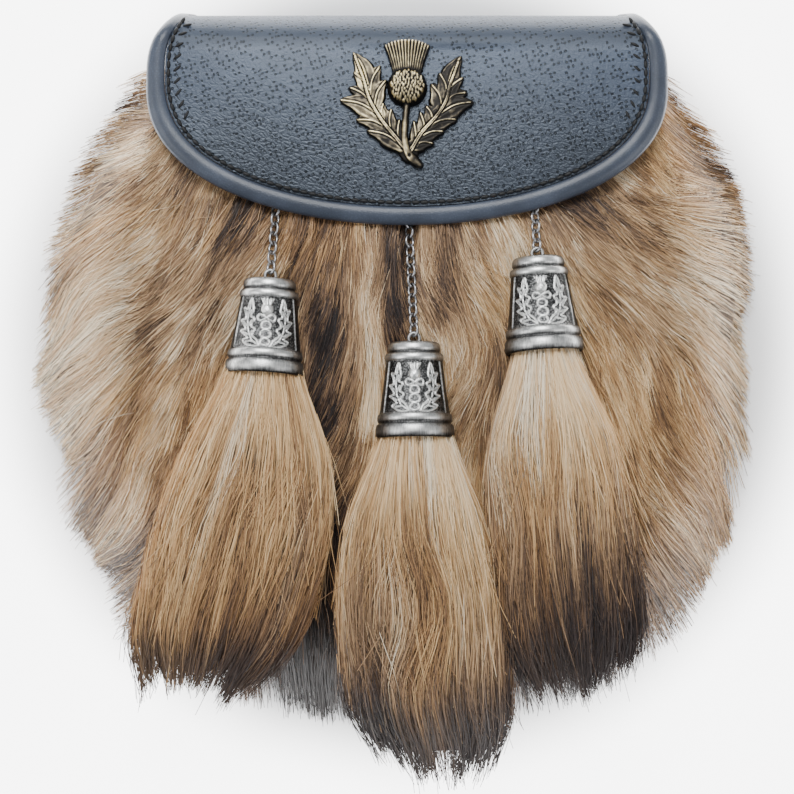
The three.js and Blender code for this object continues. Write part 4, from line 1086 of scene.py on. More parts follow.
def cap_ornament():
    """The raised front of the wall, as a thin skin that grows out of it."""
    blank = np.zeros((ORNAMENT_ROWS, ORNAMENT_COLUMNS))
    down = np.linspace(WALL_TOP, WALL_FOOT, ORNAMENT_ROWS)[:, None] + blank
    side = np.linspace(-ORNAMENT_WIDE, ORNAMENT_WIDE, ORNAMENT_COLUMNS)[None, :] + blank
    radius = wall_radius(down)
    flat_x = np.radians(side) * radius
    flat_y = -down * CAP_HEIGHT

    def flatten(points, sign):
        return [(sign * math.radians(s) * float(wall_radius(d)), -d * CAP_HEIGHT) for s, d in points]

    def raised(points, high, wide):
        return high * np.exp(-(along_line(points, flat_x, flat_y)[0] / wide) ** 2)

    height = np.zeros_like(flat_x)
    for sign in (-1, 1):
        height = np.maximum(height, raised(spline(flatten(LEAF_OUTLINE, sign), 96), 0.55, 0.2))
        height = np.maximum(height, raised(flatten(EDGE_LINE, sign), 0.5, 0.2))
        for vein in LEAF_VEINS:
            height = np.maximum(height, raised(flatten(vein, sign), 0.42, 0.16))
    turn = np.linspace(0, 2 * np.pi, 40)
    for knot_down, half_x, half_y, crossed in KNOTS:
        knot_y = -knot_down * CAP_HEIGHT + half_y * np.sin(turn * (2 if crossed else 1))
        height = np.maximum(height, raised(np.column_stack([half_x * np.cos(turn), knot_y]), 0.55, 0.21))
    ball = 1 - (flat_x / BULB_HALF) ** 2 - ((flat_y + BULB_DOWN * CAP_HEIGHT) / BULB_HALF) ** 2
    studded = 0.15 * np.sin(flat_x * 9) * np.sin(flat_y * 9)
    height = np.maximum(height, (1.2 + studded) * np.sqrt(np.clip(ball, 0, 1)))
    spikes = -0.225 * CAP_HEIGHT - 0.35 * np.abs(np.sin(flat_x * PETAL_PITCH))
    spiky = (flat_y > -0.3 * CAP_HEIGHT) & (flat_y < spikes)
    in_fan = spiky & (np.abs(flat_x) < 1.1 + 1.3 * (flat_y / CAP_HEIGHT + 0.3) / 0.08)
    petals = 0.35 + 0.4 * np.abs(np.cos(flat_x * PETAL_PITCH))
    height = np.where(in_fan, np.maximum(height, petals), height)
    ends = smooth_step((ORNAMENT_WIDE - np.abs(side)) / 3)
    lip = smooth_step((down - WALL_TOP) / 0.01) * smooth_step((WALL_FOOT - down) / 0.01)
    lift = (height + 0.04) * ends * lip - 0.06
    round_x, round_z = np.sin(np.radians(side)), np.cos(np.radians(side))
    out, inner = radius + lift, radius - ORNAMENT_ROOT
    front = np.stack([round_x * out, flat_y, round_z * out], axis=-1)
    back = np.stack([round_x * inner, flat_y, round_z * inner], axis=-1)[:, ::-1][:, ::10]
    rings = np.concatenate([front, back], axis=1)
    turned_away = np.abs(side) / 90
    # Painted shade: the ornament darkens as it turns away to the sides; its raised lines are rubbed brighter.
    shade = 0.54 - 0.22 * smooth_step((turned_away - 0.42) / 0.35) + np.clip(height * 0.9, 0, 0.4)
    shade = np.concatenate([shade, np.zeros(back.shape[:2])], axis=1)
    return rings.reshape(-1, 3), loft_faces(ORNAMENT_ROWS, rings.shape[1]), shade.ravel()


def joined_mesh(name, parts, put):
    """One mesh of several closed forms, each with its points, its faces and, if it has them, its shades."""
    points, faces, shades, start = [], [], [], 0
    for part_points, part_faces, *shade in parts:
        points.append(np.asarray(part_points))
        faces.extend(tuple(start + int(i) for i in face) for face in part_faces)
        shades.append(shade[0] if shade else np.full(len(part_points), 0.5))
        start += len(part_points)
    mesh = build_mesh(name, put(np.vstack(points)), faces)
    face_outwards(mesh)
    values = np.concatenate(shades).astype(np.float32)
    # The proud attribute carries each form's shades; on the caps these hold painted highlight and shade with the
    # rubbing.
    mesh.attributes.new("proud", "FLOAT", "POINT").data.foreach_set("value", values)
    return mesh


def ring_form(radius, wire, stretch, around, sides):
    """A wire ring, stretched along y into a link, in its own plane x and y."""
    angle = np.linspace(0, 2 * np.pi, around, endpoint=False)
    turn = np.linspace(0, 2 * np.pi, sides, endpoint=False)
    ring_x, ring_y = np.cos(angle) * radius, np.sin(angle) * (radius + stretch)
    out = np.stack([np.cos(angle) * (radius + stretch), np.sin(angle) * radius], axis=1)
    out /= np.linalg.norm(out, axis=1, keepdims=True)
    points = np.zeros((around, sides, 3))
    points[..., 0] = ring_x[:, None] + out[:, None, 0] * np.cos(turn) * wire / 2
    points[..., 1] = ring_y[:, None] + out[:, None, 1] * np.cos(turn) * wire / 2
    points[..., 2] = np.sin(turn) * wire / 2
    faces = []
    for a in range(around):
        for s in range(sides):
            b, t = (a + 1) % around, (s + 1) % sides
            faces.append((a * sides + s, b * sides + s, b * sides + t, a * sides + t))
    return points.reshape(-1, 3), faces


CAP_LOOP = 1.75
CAP_LOOP_WIRE = 1.1
PEWTER_TONES = [
    (0.0, paint(20, 20, 20)), (0.2, paint(62, 62, 62)), (0.42, paint(136, 136, 135)),
    (0.7, paint(216, 216, 213)), (1.0, paint(242, 242, 239)),
]


def pewter_finish(name, ground):
    """Cast pewter, tarnished in its hollows and bright where it is rubbed, smooth or with a pebbled ground. Its
    brightness follows the proud attribute, which on the caps holds painted highlight and shade too.
    """
    finish = Finish(name)
    at = finish.place()
    proud = finish.node("ShaderNodeAttribute", {"attribute_name": "proud"}, {})["Fac"]
    stain = finish.noise(at, 1.3, 4, 0.6)
    pebble = finish.node("ShaderNodeTexVoronoi", {}, {"Vector": at, "Scale": 1 / 0.62})["Distance"]
    brushed = finish.noise(finish.vector("MULTIPLY", at, (1.0, 0.07, 1.0)), 0.35, 2)
    level = proud + (stain - 0.5) * 0.35 + (0.42 - pebble) * (0.35 if ground else 0.0)
    level = level + (brushed - 0.5) * (0.1 if ground else 0.4)
    depth = 0.12 if ground else 0.05
    return finish.finished({
        "Base Color": finish.ramp(level, PEWTER_TONES),
        "Metallic": 1.0,
        "Roughness": 0.48 - level.clamp() * 0.14 + (stain - 0.5) * 0.12,
        "Normal": finish.bump((1 - pebble) * (0.8 if ground else 0.1) + stain * 0.4, depth),
    })


pewter = pewter_finish("pewter", False)
pebbled_pewter = pewter_finish("pebbled_pewter", True)
cap_frames = {side: cap_matrix(tassel) for side, tassel in TASSELS.items()}

GROUND_TOP = 0.203
GROUND_FOOT = 0.749
GROUND_IN = 0.3

for side, matrix in cap_frames.items():
    loop_points, loop_faces = ring_form(CAP_LOOP, CAP_LOOP_WIRE, 0, 32, 12)
    loop_points = loop_points + [0, CAP_LOOP * 0.8, 0]
    put = lambda points, matrix=matrix: moved(matrix, points)
    mesh = joined_mesh("cap_" + side, [cap_shell(), (loop_points, loop_faces), cap_ornament()], put)
    mesh.materials.clear()
    mesh.materials.append(pewter)
    mesh.materials.append(pebbled_pewter)
    cap = add_piece("cap_" + side, mesh)
    inverse = np.array(matrix.inverted())
    centres = np.empty(len(mesh.polygons) * 3)
    mesh.polygons.foreach_get("center", centres)
    centres = (centres.reshape(-1, 3) - [MIDDLE, TOP_EDGE, 0]) * METRE
    local = centres @ inverse[:3, :3].T + inverse[:3, 3]
    down = -local[:, 1] / CAP_HEIGHT
    reach = np.hypot(local[:, 0], local[:, 2])
    ground = (down > GROUND_TOP) & (down < GROUND_FOOT) & (reach > wall_radius(down) - GROUND_IN)
    mesh.polygons.foreach_set("material_index", ground.astype(np.int32))
    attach(cap, "root")
    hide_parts("tassel_cone_" + side)


# The chains: oval links of plated wire, each turned a quarter from the next and lying half over. Each chain
# runs from a staple that the flap hides down to the loop of its cap.
LINK_WIDTH = 4
LINK_LENGTH = 5.1
LINK_WIRE = 0.85
LINK_GAP = 0.12
STAPLE_WIRE = 0.9
CHAIN_STAND = 4.3
CHAIN_LINES = {}
link_span = LINK_LENGTH - LINK_WIRE
link_pitch = link_span - LINK_WIRE - LINK_GAP
steel_tones = paint(40, 40, 41), paint(92, 92, 95), paint(168, 168, 170)
chain_metal = antique("chain_metal", *steel_tones, roughness=0.3, lump=0.9, relief=0.02)

for side, tassel in TASSELS.items():
    start = moved(cap_frames[side], [[0, CAP_LOOP * 1.8, 0]])[0]
    hook = (LINK_WIRE + CAP_LOOP_WIRE) / 2 + LINK_GAP
    staple_hook = LINK_WIRE / 2 + STAPLE_WIRE * 0.6 + LINK_GAP
    run = link_span + (tassel["links"] - 1) * link_pitch - hook - staple_hook
    lean = math.radians(tassel["chain_lean"])
    end = start + run * np.array([math.sin(lean), math.cos(lean), 0])
    end[2] = float(front_height(end[0], end[1])) + CHAIN_STAND
    CHAIN_LINES[side] = (start, end)
    along = (end - start) / np.linalg.norm(end - start)
    across = np.cross(along, [0, 0, 1])
    across /= np.linalg.norm(across)
    rise = np.cross(across, along)
    parts = []
    for i in range(tassel["links"]):
        stretch = (LINK_LENGTH - LINK_WIDTH) / 2
        points, faces = ring_form((LINK_WIDTH - LINK_WIRE) / 2, LINK_WIRE, stretch, 24, 10)
        wide = (rise + across if i % 2 == 0 else rise - across) / math.sqrt(2)
        facing = np.cross(wide, along)
        middle = start + along * (link_span / 2 - hook + i * link_pitch)
        parts.append((points @ np.array([wide, along, facing]) + middle, faces))
    chain_mesh = joined_mesh("chain_" + side, parts, lambda points: points)
    chain = add_piece("chain_" + side, chain_mesh, chain_metal)
    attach(chain, "root")
    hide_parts(*["chain_%s_%d" % (side, i + 1) for i in range(tassel["links"])])
    lay_on("chain_staple_" + side, chain_metal)


# Hair: each strand is a tapered ribbon that follows its own path, coloured by its kind and tone across the
# map and by its length along it. The same finish serves the pelt and the tassels.
HAIR_TONES = [
    (0.0, paint(30, 25, 25)), (0.16, paint(60, 46, 40)), (0.32, paint(106, 82, 62)),
    (0.48, paint(152, 120, 88)), (0.64, paint(194, 158, 118)), (0.8, paint(224, 194, 152)),
    (1.0, paint(246, 230, 202)),
]
GOLD_TONES = [
    (0.0, paint(34, 26, 22)), (0.2, paint(80, 58, 42)), (0.4, paint(136, 102, 70)),
    (0.6, paint(188, 146, 98)), (0.8, paint(222, 184, 132)), (1.0, paint(244, 216, 172)),
]
TONE_CHOICES = 64
# Kinds of hair: plain, the same with a dark tip, golden, and golden with a pale band and a dark tip
PLAIN = 0
GOLDEN = 2
KINDS = 4


def hair_finish():
    """Hair by its kind: plain, dark-tipped, golden, or golden and dark-tipped with a pale band."""
    finish = Finish("hair")
    where = finish.node("ShaderNodeUVMap", {"uv_map": "OFBake"}, {})["UV"]
    split = finish.node("ShaderNodeSeparateXYZ", {}, {"Vector": where})
    across, along = split["X"] * KINDS, split["Y"]
    kind = across.math("FLOOR")
    tone = across.math("FRACT")
    golden = kind.math("GREATER_THAN", 1.5)
    tipped = (kind * 0.5).math("FRACT").math("GREATER_THAN", 0.25)
    band = tone + (along.between(0.3, 0.5) - along.between(0.5, 0.75)) * tipped * 0.16
    colour = finish.mix(golden, finish.ramp(band, HAIR_TONES), finish.ramp(band, GOLD_TONES))
    root = 1 - along.between(0.0, 0.4)
    rooted = finish.mix(root * 0.55, colour, paint(96, 76, 62), "MULTIPLY")
    tip = along.between(0.6, 0.88) * tipped
    tipped_colour = finish.mix(tip * 0.8, rooted, paint(50, 41, 39))
    return finish.finished({
        "Base Color": tipped_colour,
        "Roughness": 0.5,
        "Specular IOR Level": 0.35,
        "Sheen Weight": 0.12,
    })


hair_material = hair_finish()


def ribbon_tree():
    """Nodes that turn each path into a flat ribbon that narrows as its width attribute says."""
    tree = PathTree("hair_ribbons", ("Width",), "Hair")

    def from_path(name):
        settings = {"data_type": "FLOAT"}
        return tree.node("GeometryNodeInputNamedAttribute", settings, {"Name": name})["Attribute"]

    curve = tree.node("GeometryNodeMeshToCurve", {}, {"Mesh": tree.given["Geometry"]})["Curve"]
    upright = tree.node("GeometryNodeSetCurveNormal", {"mode": "Z_UP"}, {"Curve": curve})["Curve"]
    widths = {"Curve": upright, "Radius": from_path("narrow")}
    tapered = tree.node("GeometryNodeSetCurveRadius", {}, widths)["Curve"]
    rolls = {"Curve": tapered, "Tilt": from_path("roll")}
    rolled = tree.node("GeometryNodeSetCurveTilt", {}, rolls)["Curve"]
    ends = {"Start": (-0.5, 0, 0), "End": (0.5, 0, 0)}
    line = tree.node("GeometryNodeCurvePrimitiveLine", {}, ends)["Curve"]
    size = tree.node("ShaderNodeCombineXYZ", {}, {"X": tree.given["Width"], "Y": 1, "Z": 1})["Vector"]
    flat = tree.node("GeometryNodeTransform", {}, {"Geometry": line, "Scale": size})["Geometry"]
    swept = {"Curve": rolled, "Profile Curve": flat}
    return tree.finished(tree.node("GeometryNodeCurveToMesh", {}, swept)["Mesh"])


ribbons = ribbon_tree()


def grow_hair(name, paths, tones, kinds, width, slot, root=0.0):
    """A piece of ribbons along paths (strands, points, xyz), each with a tone from 0 dark to 1 pale.

    root is how far along its colours a strand starts: above 0, the dark root is left out.
    """
    count, steps = paths.shape[:2]
    rng = np.random.default_rng(len(name) * 97 + count)
    guide = bpy.data.meshes.new(name + "_paths")
    guide.vertices.add(count * steps)
    guide.vertices.foreach_set("co", place(paths.reshape(-1, 3)).astype(np.float32).ravel())
    first = (np.arange(count)[:, None] * steps + np.arange(steps - 1)[None, :]).ravel()
    guide.edges.add(len(first))
    guide.edges.foreach_set("vertices", np.column_stack([first, first + 1]).astype(np.int32).ravel())
    along = np.linspace(0, 1, steps)
    taper = np.interp(along, [0, 0.25, 0.8, 1], [0.8, 1.0, 0.8, 0.1])
    narrow = np.tile(taper, count) * np.repeat(rng.uniform(0.7, 1.25, count), steps)
    roll = np.repeat(rng.normal(0, 0.45, count), steps)
    level = np.floor(np.clip(tones, 0.004, 0.996) * TONE_CHOICES) / TONE_CHOICES
    across = np.repeat((level + kinds) / KINDS, steps)
    reach = np.tile(root + (1 - root) * along, count)
    carried = {"narrow": narrow, "roll": roll, "across": across, "along": reach}
    for label, values in carried.items():
        made = guide.attributes.new(label, "FLOAT", "POINT")
        made.data.foreach_set("value", values.astype(np.float32))
    guide.update()
    mesh = worked(ribbons, guide, {"Width": width * MM, "Hair": hair_material}, name)
    mesh.name = name
    total = len(mesh.vertices)
    across, along = np.empty(total, np.float32), np.empty(total, np.float32)
    mesh.attributes["across"].data.foreach_get("value", across)
    mesh.attributes["along"].data.foreach_get("value", along)
    corner = np.empty(len(mesh.loops), np.int32)
    mesh.loops.foreach_get("vertex_index", corner)
    choice = 1 / TONE_CHOICES / KINDS
    side = (corner % 2) * (0.4 * choice) + 0.2 * choice
    spots = np.column_stack([across[corner] + side, 0.02 + 0.96 * along[corner]])
    mesh.uv_layers.new(name="OFBake").data.foreach_set("uv", spots.astype(np.float32).ravel())
    for label in carried:
        if label in mesh.attributes:
            mesh.attributes.remove(mesh.attributes[label])
    piece = add_piece(name, mesh)
    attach(piece, "root")
    return piece


# The tassels: long hair bound into each cap, pressed into a soft rope where it leaves it, then spread by
# its own weight over the fur. A dark core under the loose strands keeps daylight out.
# Its width, thickness and fall at each share of its length, as shares of the tassel's own
WIDE_KNOTS = [(0, 0.42), (0.12, 0.62), (0.26, 0.84), (0.46, 0.97), (0.66, 1.0), (0.84, 0.96), (1.0, 0.62)]
THICK_KNOTS = [(0, 0.94), (0.14, 0.98), (0.36, 1.0), (0.68, 0.82), (1.0, 0.3)]
FALL_KNOTS = [(0, 0), (0.14, 0.02), (0.36, 0.1), (0.68, 0.4), (1.0, 1.0)]
SPREAD_WIDE, SPREAD_THICK, SPREAD_FALL = (spline(knots, 60) for knots in (WIDE_KNOTS, THICK_KNOTS, FALL_KNOTS))


def tassel_middle(tassel, along):
    """Middle of the hair in its cap's frame, at a share of its length."""
    fall = np.interp(along, *SPREAD_FALL.T) * tassel["fall"]
    return np.stack([tassel["drift"] * along ** 2, -CAP_HEIGHT - tassel["length"] * along, -fall], axis=-1)


def tassel_half(tassel, along):
    """Half the width and half the thickness of a tassel at a share of its length."""
    wide = np.interp(along, *SPREAD_WIDE.T) * tassel["wide"] / 2
    thick = np.interp(along, *SPREAD_THICK.T) * tassel["thick"] / 2
    return wide, thick


def drift_noise(x, y, seed):
    """Smooth noise about 0, with one lump to each unit of x and y."""
    cells = 64
    rng = np.random.default_rng(seed)
    grid = rng.normal(0, 1, (cells, cells))
    column, row = np.floor(x).astype(int), np.floor(y).astype(int)
    part_x, part_y = smooth_step(x - column), smooth_step(y - row)
    west, east, south, north = column % cells, (column + 1) % cells, row % cells, (row + 1) % cells
    low = grid[south, west] * (1 - part_x) + grid[south, east] * part_x
    high = grid[north, west] * (1 - part_x) + grid[north, east] * part_x
    return low * (1 - part_y) + high * part_y


# Where the hair of each tassel ends, in pixels of the picture
TASSEL_FEET = {
    "left": [(112, 620), (130, 664), (160, 684), (220, 692), (290, 690), (325, 655), (345, 610)],
    "middle": [
        (330, 650), (347, 691), (380, 727), (413, 770), (451, 777), (505, 757), (527, 700), (535, 660),
    ],
    "right": [(485, 640), (505, 672), (540, 692), (600, 694), (635, 660), (650, 600)],
}
# Tones of the tassels, from dark 0 to pale 1, by the share of the length, and the shares of golden and of
# dark-tipped hair
TASSEL_TONES = {
    "left": dict(
        tones=[(0, 0.84), (0.18, 0.78), (0.4, 0.65), (0.6, 0.6), (0.8, 0.58), (1, 0.42)], golden=0.95, tipped=0.4
    ),
    "middle": dict(
        tones=[(0, 0.92), (0.18, 0.85), (0.36, 0.6), (0.55, 0.6), (0.72, 0.58), (0.88, 0.14)],
        golden=0.7, tipped=0.45,
    ),
    "right": dict(
        tones=[(0, 1.0), (0.18, 0.94), (0.36, 0.68), (0.55, 0.5), (0.75, 0.32), (1, 0.16)],
        golden=0.55, tipped=0.35,
    ),
}
# How far streaks and single hairs stray from those tones
TASSEL_STREAK = 0.15
TASSEL_STRAY = 0.09
TASSEL_STRANDS = 9000
TASSEL_STEPS = 5
TASSEL_LOCKS = 5.5
TASSEL_HAIR_WIDTH = 0.19


def comb_tassel(side, tassel, seed):
    """Strands that start all down the tassel and lie over each other, gathered into locks at their ends."""
    rng = np.random.default_rng(seed)
    count = TASSEL_STRANDS
    bound = rng.uniform(0, 1, count) < 0.22
    start = np.where(bound, rng.uniform(-0.03, 0.04, count), rng.uniform(0, 0.74, count))
    length = rng.uniform(0.2, 0.45, count)
    angle = rng.uniform(0, 2 * np.pi, count)
    front = np.sin(angle) > -0.2
    angle = np.where(front | (rng.uniform(0, 1, count) < 0.5), angle, -angle)
    reach = np.sqrt(rng.uniform(0.3, 1, count))
    share = np.linspace(0, 1, TASSEL_STEPS)
    ragged = 0.97 + 0.05 * drift_noise(angle * 3, start * 0 + 3, seed + 1) + rng.normal(0, 0.018, count)
    end = np.minimum(start + length, ragged)
    along = start[:, None] + (end - start)[:, None] * share
    lock = angle * TASSEL_LOCKS
    lock_drift = 0.32 * drift_noise(np.round(lock) * 1.7, end * 3, seed + 2)
    lock_middle = (np.round(lock) + lock_drift) / TASSEL_LOCKS
    pull = 0.55 * share ** 1.4 * smooth_step(end / ragged)[:, None]
    turn = angle[:, None] * (1 - pull) + lock_middle[:, None] * pull
    swirl = 0.12 * drift_noise(angle[:, None] * 1.2, along * 4, seed + 3)
    out = np.clip(reach[:, None] * (1 - 0.1 * share), 0, 1)
    wide, thick = tassel_half(tassel, np.clip(along, 0, 1))
    points = tassel_middle(tassel, along)
    points[..., 0] += np.cos(turn + swirl) * out * wide + rng.normal(0, 0.5, count)[:, None] * along
    points[..., 2] += np.sin(turn + swirl) * out * thick + 0.8 * np.sin(np.pi * share) * (along > 0.1)
    loose = smooth_step((end - 0.2) / 0.3)
    wisp = 1.9 * drift_noise(np.round(lock * 1.6) * 1.37 + 10, start * 9 + 10, seed + 8)
    wisp = wisp + rng.normal(0, 1.1, count) + 0.5 * rng.normal(0, 1, count) ** 3
    points[..., 0] += (wisp * loose)[:, None] * share ** 1.5
    bands = TASSEL_TONES[side]
    seen = along.mean(axis=1)
    across = np.cos(angle)
    streak = drift_noise(across * 6 + 20, seen * 2.4, seed + 4)
    streak = streak + 0.6 * drift_noise(across * 17 + 20, seen * 3.5, seed + 5)
    # Painted shade: the hair at the tassel's two sides is darker.
    edge = smooth_step((np.abs(across) - 0.72) / 0.28)
    tone = np.interp(seen, *np.transpose(bands["tones"])) + TASSEL_STREAK * streak * smooth_step(seen * 5)
    tone = tone - 0.14 * edge * (seen > 0.12) + rng.normal(0, TASSEL_STRAY, count)
    golden = drift_noise(across * 3 + 20, seen * 3, seed + 6) * 0.5 + 0.5 < bands["golden"]
    low = smooth_step((end - 0.76) / 0.16)
    tone = tone - 0.12 * low
    tipped = rng.uniform(0, 1, count) < bands["tipped"] + 0.55 * low
    kind = np.where(golden, GOLDEN, PLAIN) + tipped
    world = moved(cap_frames[side], points.reshape(-1, 3)).reshape(points.shape)
    world[..., 2] = np.maximum(world[..., 2], 1.0)
    foot = np.array([pixel(*spot) for spot in TASSEL_FEET[side]])
    lowest = np.interp(world[:, -1, 0], foot[:, 0], foot[:, 1]) + rng.normal(0, 3.8, count)
    lowest = lowest + 5.5 * drift_noise(world[:, -1, 0] / 2.6 + 40, along[:, 0] * 3, seed + 7)
    over = np.clip((lowest - world[:, -1, 1]) / (world[:, 0, 1] - world[:, -1, 1]), 0, 0.9)
    world = world[:, :1] + (world - world[:, :1]) * (1 - over)[:, None, None]
    return world, tone, kind


def core_finish():
    """The hair deep inside and the woolly coat, seen only between strands: streaked brown, darker than the loose
    hair, partly the wool's own colour and partly painted shade for hair that lies deep under the strands.
    """
    finish = Finish("hair_core")
    stretched = finish.vector("MULTIPLY", finish.place(), (1.0, 0.1, 1.0))
    streak = finish.noise(stretched, 0.4, 3)
    broad = finish.noise(stretched, 5, 2)
    colour = finish.mix(broad.between(0.3, 0.7), paint(80, 62, 48), paint(134, 106, 78))
    return finish.finished({
        "Base Color": finish.mix(1 - streak, colour, paint(46, 36, 30)),
        "Roughness": 0.8,
        "Normal": finish.bump(streak, 0.6),
    })


hair_core = core_finish()


CORE_SHRINK = 0.8
CORE_RINGS = np.linspace(-0.06, 0.9, 22)
CORE_SIDES = 28


def tassel_core(tassel):
    """A closed rippled form inside the tassel, from inside its cap to near its foot."""
    angle = np.linspace(0, 2 * np.pi, CORE_SIDES, endpoint=False)
    rings = []
    for along in CORE_RINGS:
        wide, thick = tassel_half(tassel, max(along, 0))
        middle = tassel_middle(tassel, max(along, 0))
        if along < 0:
            middle = np.array([0, -CAP_HEIGHT - tassel["length"] * along, 0])
        close = CORE_SHRINK * (1 - 0.55 * smooth_step((along - 0.64) / 0.26))
        ripple = 1 + 0.05 * np.sin(7 * angle + 9 * along) * min(1, max(0, along) * 5)
        rings.append(np.column_stack([
            middle[0] + np.cos(angle) * wide * close * ripple,
            np.full(CORE_SIDES, middle[1]),
            middle[2] + np.sin(angle) * thick * close * ripple,
        ]))
    return np.vstack(rings), loft_faces(len(rings), CORE_SIDES)


for number, (side, tassel) in enumerate(TASSELS.items()):
    put = lambda points, matrix=cap_frames[side]: moved(matrix, points)
    core_mesh = joined_mesh("tassel_core_" + side, [tassel_core(tassel)], put)
    core = add_piece("tassel_core_" + side, core_mesh, hair_core)
    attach(core, "root")
    combed = comb_tassel(side, tassel, 40 + 10 * number)
    strands = grow_hair("tassel_strands_" + side, *combed, TASSEL_HAIR_WIDTH, "hair_tassel", root=0.4)
    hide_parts("tassel_hair_" + side)


# The pelt: long guard hair over a dense woolly coat, on the front of the pouch. It fans out from under the
# flap, hangs over the edges all round, and comes to rest on what the pouch lies on.
FUR_RADIUS = 122
FUR_CENTRE = 112
# How far the fur reaches from its centre, by degrees round from straight down, as a share of its radius
FUR_REACHES = [
    (-180, 1), (-150, 0.98), (-132, 0.985), (-124, 1.0), (-110, 1.03), (-98, 1.02), (-80, 1.035), (-72, 0.985),
    (-66, 1.025), (-53, 1.04), (-48, 1.1), (-42, 1.135), (-30, 1.07), (-20, 1.03), (0, 1.02), (20, 1.05),
    (28, 1.08), (38, 1.08), (46, 1.055), (53, 1.03), (60, 1.025), (66, 0.995), (73, 0.98), (79, 0.94),
    (92, 0.93), (99, 0.96), (105, 0.99), (111, 1.01), (118, 1.0), (133, 0.98), (150, 0.97), (180, 1),
]
outline = body_outline(0)
outline_turn = np.degrees(np.arctan2(outline[:, 0], -(outline[:, 1] + FUR_CENTRE)))
outline_reach = np.hypot(outline[:, 0], outline[:, 1] + FUR_CENTRE)
order = np.argsort(outline_turn)
outline_turn, outline_reach = outline_turn[order], outline_reach[order]


RIM_LEAST = 8


def rim_reaches(turn):
    """How far the pouch and its fur reach from the centre, by degrees round from straight down."""
    body = np.interp(turn, outline_turn, outline_reach)
    return body, FUR_RADIUS * np.interp(turn, *np.transpose(FUR_REACHES))


def edge_share(x, y):
    """0 at the pouch's edge, 1 where the fur ends, below 0 on the pouch."""
    turn, reach = np.degrees(np.arctan2(x, -(y + FUR_CENTRE))), np.hypot(x, y + FUR_CENTRE)
    body, fur = rim_reaches(turn)
    return (reach - body) / np.maximum(fur - body, RIM_LEAST)


COAT_DEPTH = 3.0
COAT_LEAST = 1.4
COAT_HEM = 1.2


def coat_height(x, y):
    """Height of the woolly coat that the long hair lies on, down over the edge to the floor."""
    free = smooth_step((-y - PRESSED_REACH) / (FULL_REACH - PRESSED_REACH))
    top = front_height(x, y) + FIT + COAT_LEAST + COAT_DEPTH * free
    return top + (COAT_HEM - top) * np.clip(edge_share(x, y), 0, 1) ** 1.5


OPEN_ABOVE = 999.0
TASSEL_LEVEL = 45.0


def tassel_floor(x, y):
    """Underside of the caps and tassels over a place, or OPEN_ABOVE where none lies."""
    height = np.full(np.shape(x), OPEN_ABOVE)
    for side, tassel in TASSELS.items():
        inverse = np.array(cap_frames[side].inverted())
        local_x, local_y = (row[0] * x + row[1] * y + row[2] * TASSEL_LEVEL + row[3] for row in inverse[:2])
        along = (-local_y - CAP_HEIGHT) / tassel["length"]
        wide, thick = tassel_half(tassel, np.clip(along, 0, 1))
        down = np.clip(-local_y / CAP_HEIGHT, 0, 1)
        on_cap = (along < 0) & (local_y < 1)
        radius = np.where(on_cap, (0.62 + 0.38 * down) * CAP_RADIUS, wide)
        deep = np.where(on_cap, radius, thick)
        middle = tassel_middle(tassel, np.clip(along, 0, 1))
        centre_x = np.where(on_cap, 0, middle[..., 0])
        centre_z = np.where(on_cap, 0, middle[..., 2])
        off = (local_x - centre_x) / np.maximum(radius, 1)
        turn = np.array(cap_frames[side])
        row_z = turn[2, 1] * local_y + turn[2, 2] * centre_z + turn[2, 3]
        under = row_z - deep * np.sqrt(np.clip(1 - off ** 2, 0, 1))
        inside = (np.abs(off) < 1) & (local_y < 1) & (along < 1.0)
        height = np.where(inside, np.minimum(height, under), height)
    return height


CHAIN_PARTING = 3.2
CHAIN_SINK = 0.4


def chain_floor(x, y):
    """Underside of the chains over a place, or OPEN_ABOVE where none runs."""
    height = np.full(np.shape(x), OPEN_ABOVE)
    for start, end in CHAIN_LINES.values():
        share = (y - start[1]) / (end[1] - start[1])
        beside = np.abs(x - start[0] - share * (end[0] - start[0])) < CHAIN_PARTING
        under = start[2] + share * (end[2] - start[2]) - LINK_WIDTH / 2 + CHAIN_SINK
        height = np.where(beside & (share > 0) & (share < 1.2), np.minimum(height, under), height)
    return np.maximum(height, front_height(x, y) + FIT + 0.8)


def comb(x, y):
    """Which way the hair lies: straight down in the middle, fanned out and turned to the rim at the sides."""
    fan = 0.003 + 0.01 * (1 - smooth_step((-y - 50) / 110))
    rim = 0.34 * smooth_step((edge_share(x, y) + 0.9) / 0.9)
    from_x, from_y = x, y + FUR_CENTRE
    far = np.hypot(from_x, from_y) + 1e-6
    down_size = np.hypot(x * fan, 1)
    way_x = x * fan / down_size * (1 - rim) + from_x / far * rim
    way_y = -1 / down_size * (1 - rim) + np.minimum(from_y / far, 0.25) * rim
    size = np.hypot(way_x, way_y)
    return way_x / size, way_y / size


# Patches of the coat: the x and y of the middle, half width and half height in pixels of the picture, lean
# in degrees, and how much paler the hair is
FUR_PATCHES = [
    (225, 240, 34, 70, -24, -0.34), (322, 380, 24, 190, 2, -0.5), (365, 290, 14, 60, 0, 0.16),
    (392, 300, 12, 80, 4, -0.32), (450, 280, 16, 60, 4, -0.25), (480, 330, 12, 60, 4, 0.1),
    (590, 205, 34, 34, 40, -0.36), (650, 230, 40, 50, 45, -0.06), (620, 330, 18, 80, 20, -0.14),
    (700, 330, 30, 120, 10, 0.14), (90, 330, 34, 130, -8, 0.12), (150, 190, 30, 60, -35, -0.05),
    (185, 640, 50, 50, -10, -0.2), (330, 680, 70, 50, 0, -0.62), (560, 640, 60, 60, 8, -0.42),
    (300, 560, 30, 90, 0, -0.3), (500, 440, 14, 120, 2, -0.2), (160, 420, 30, 90, -14, 0.05),
]


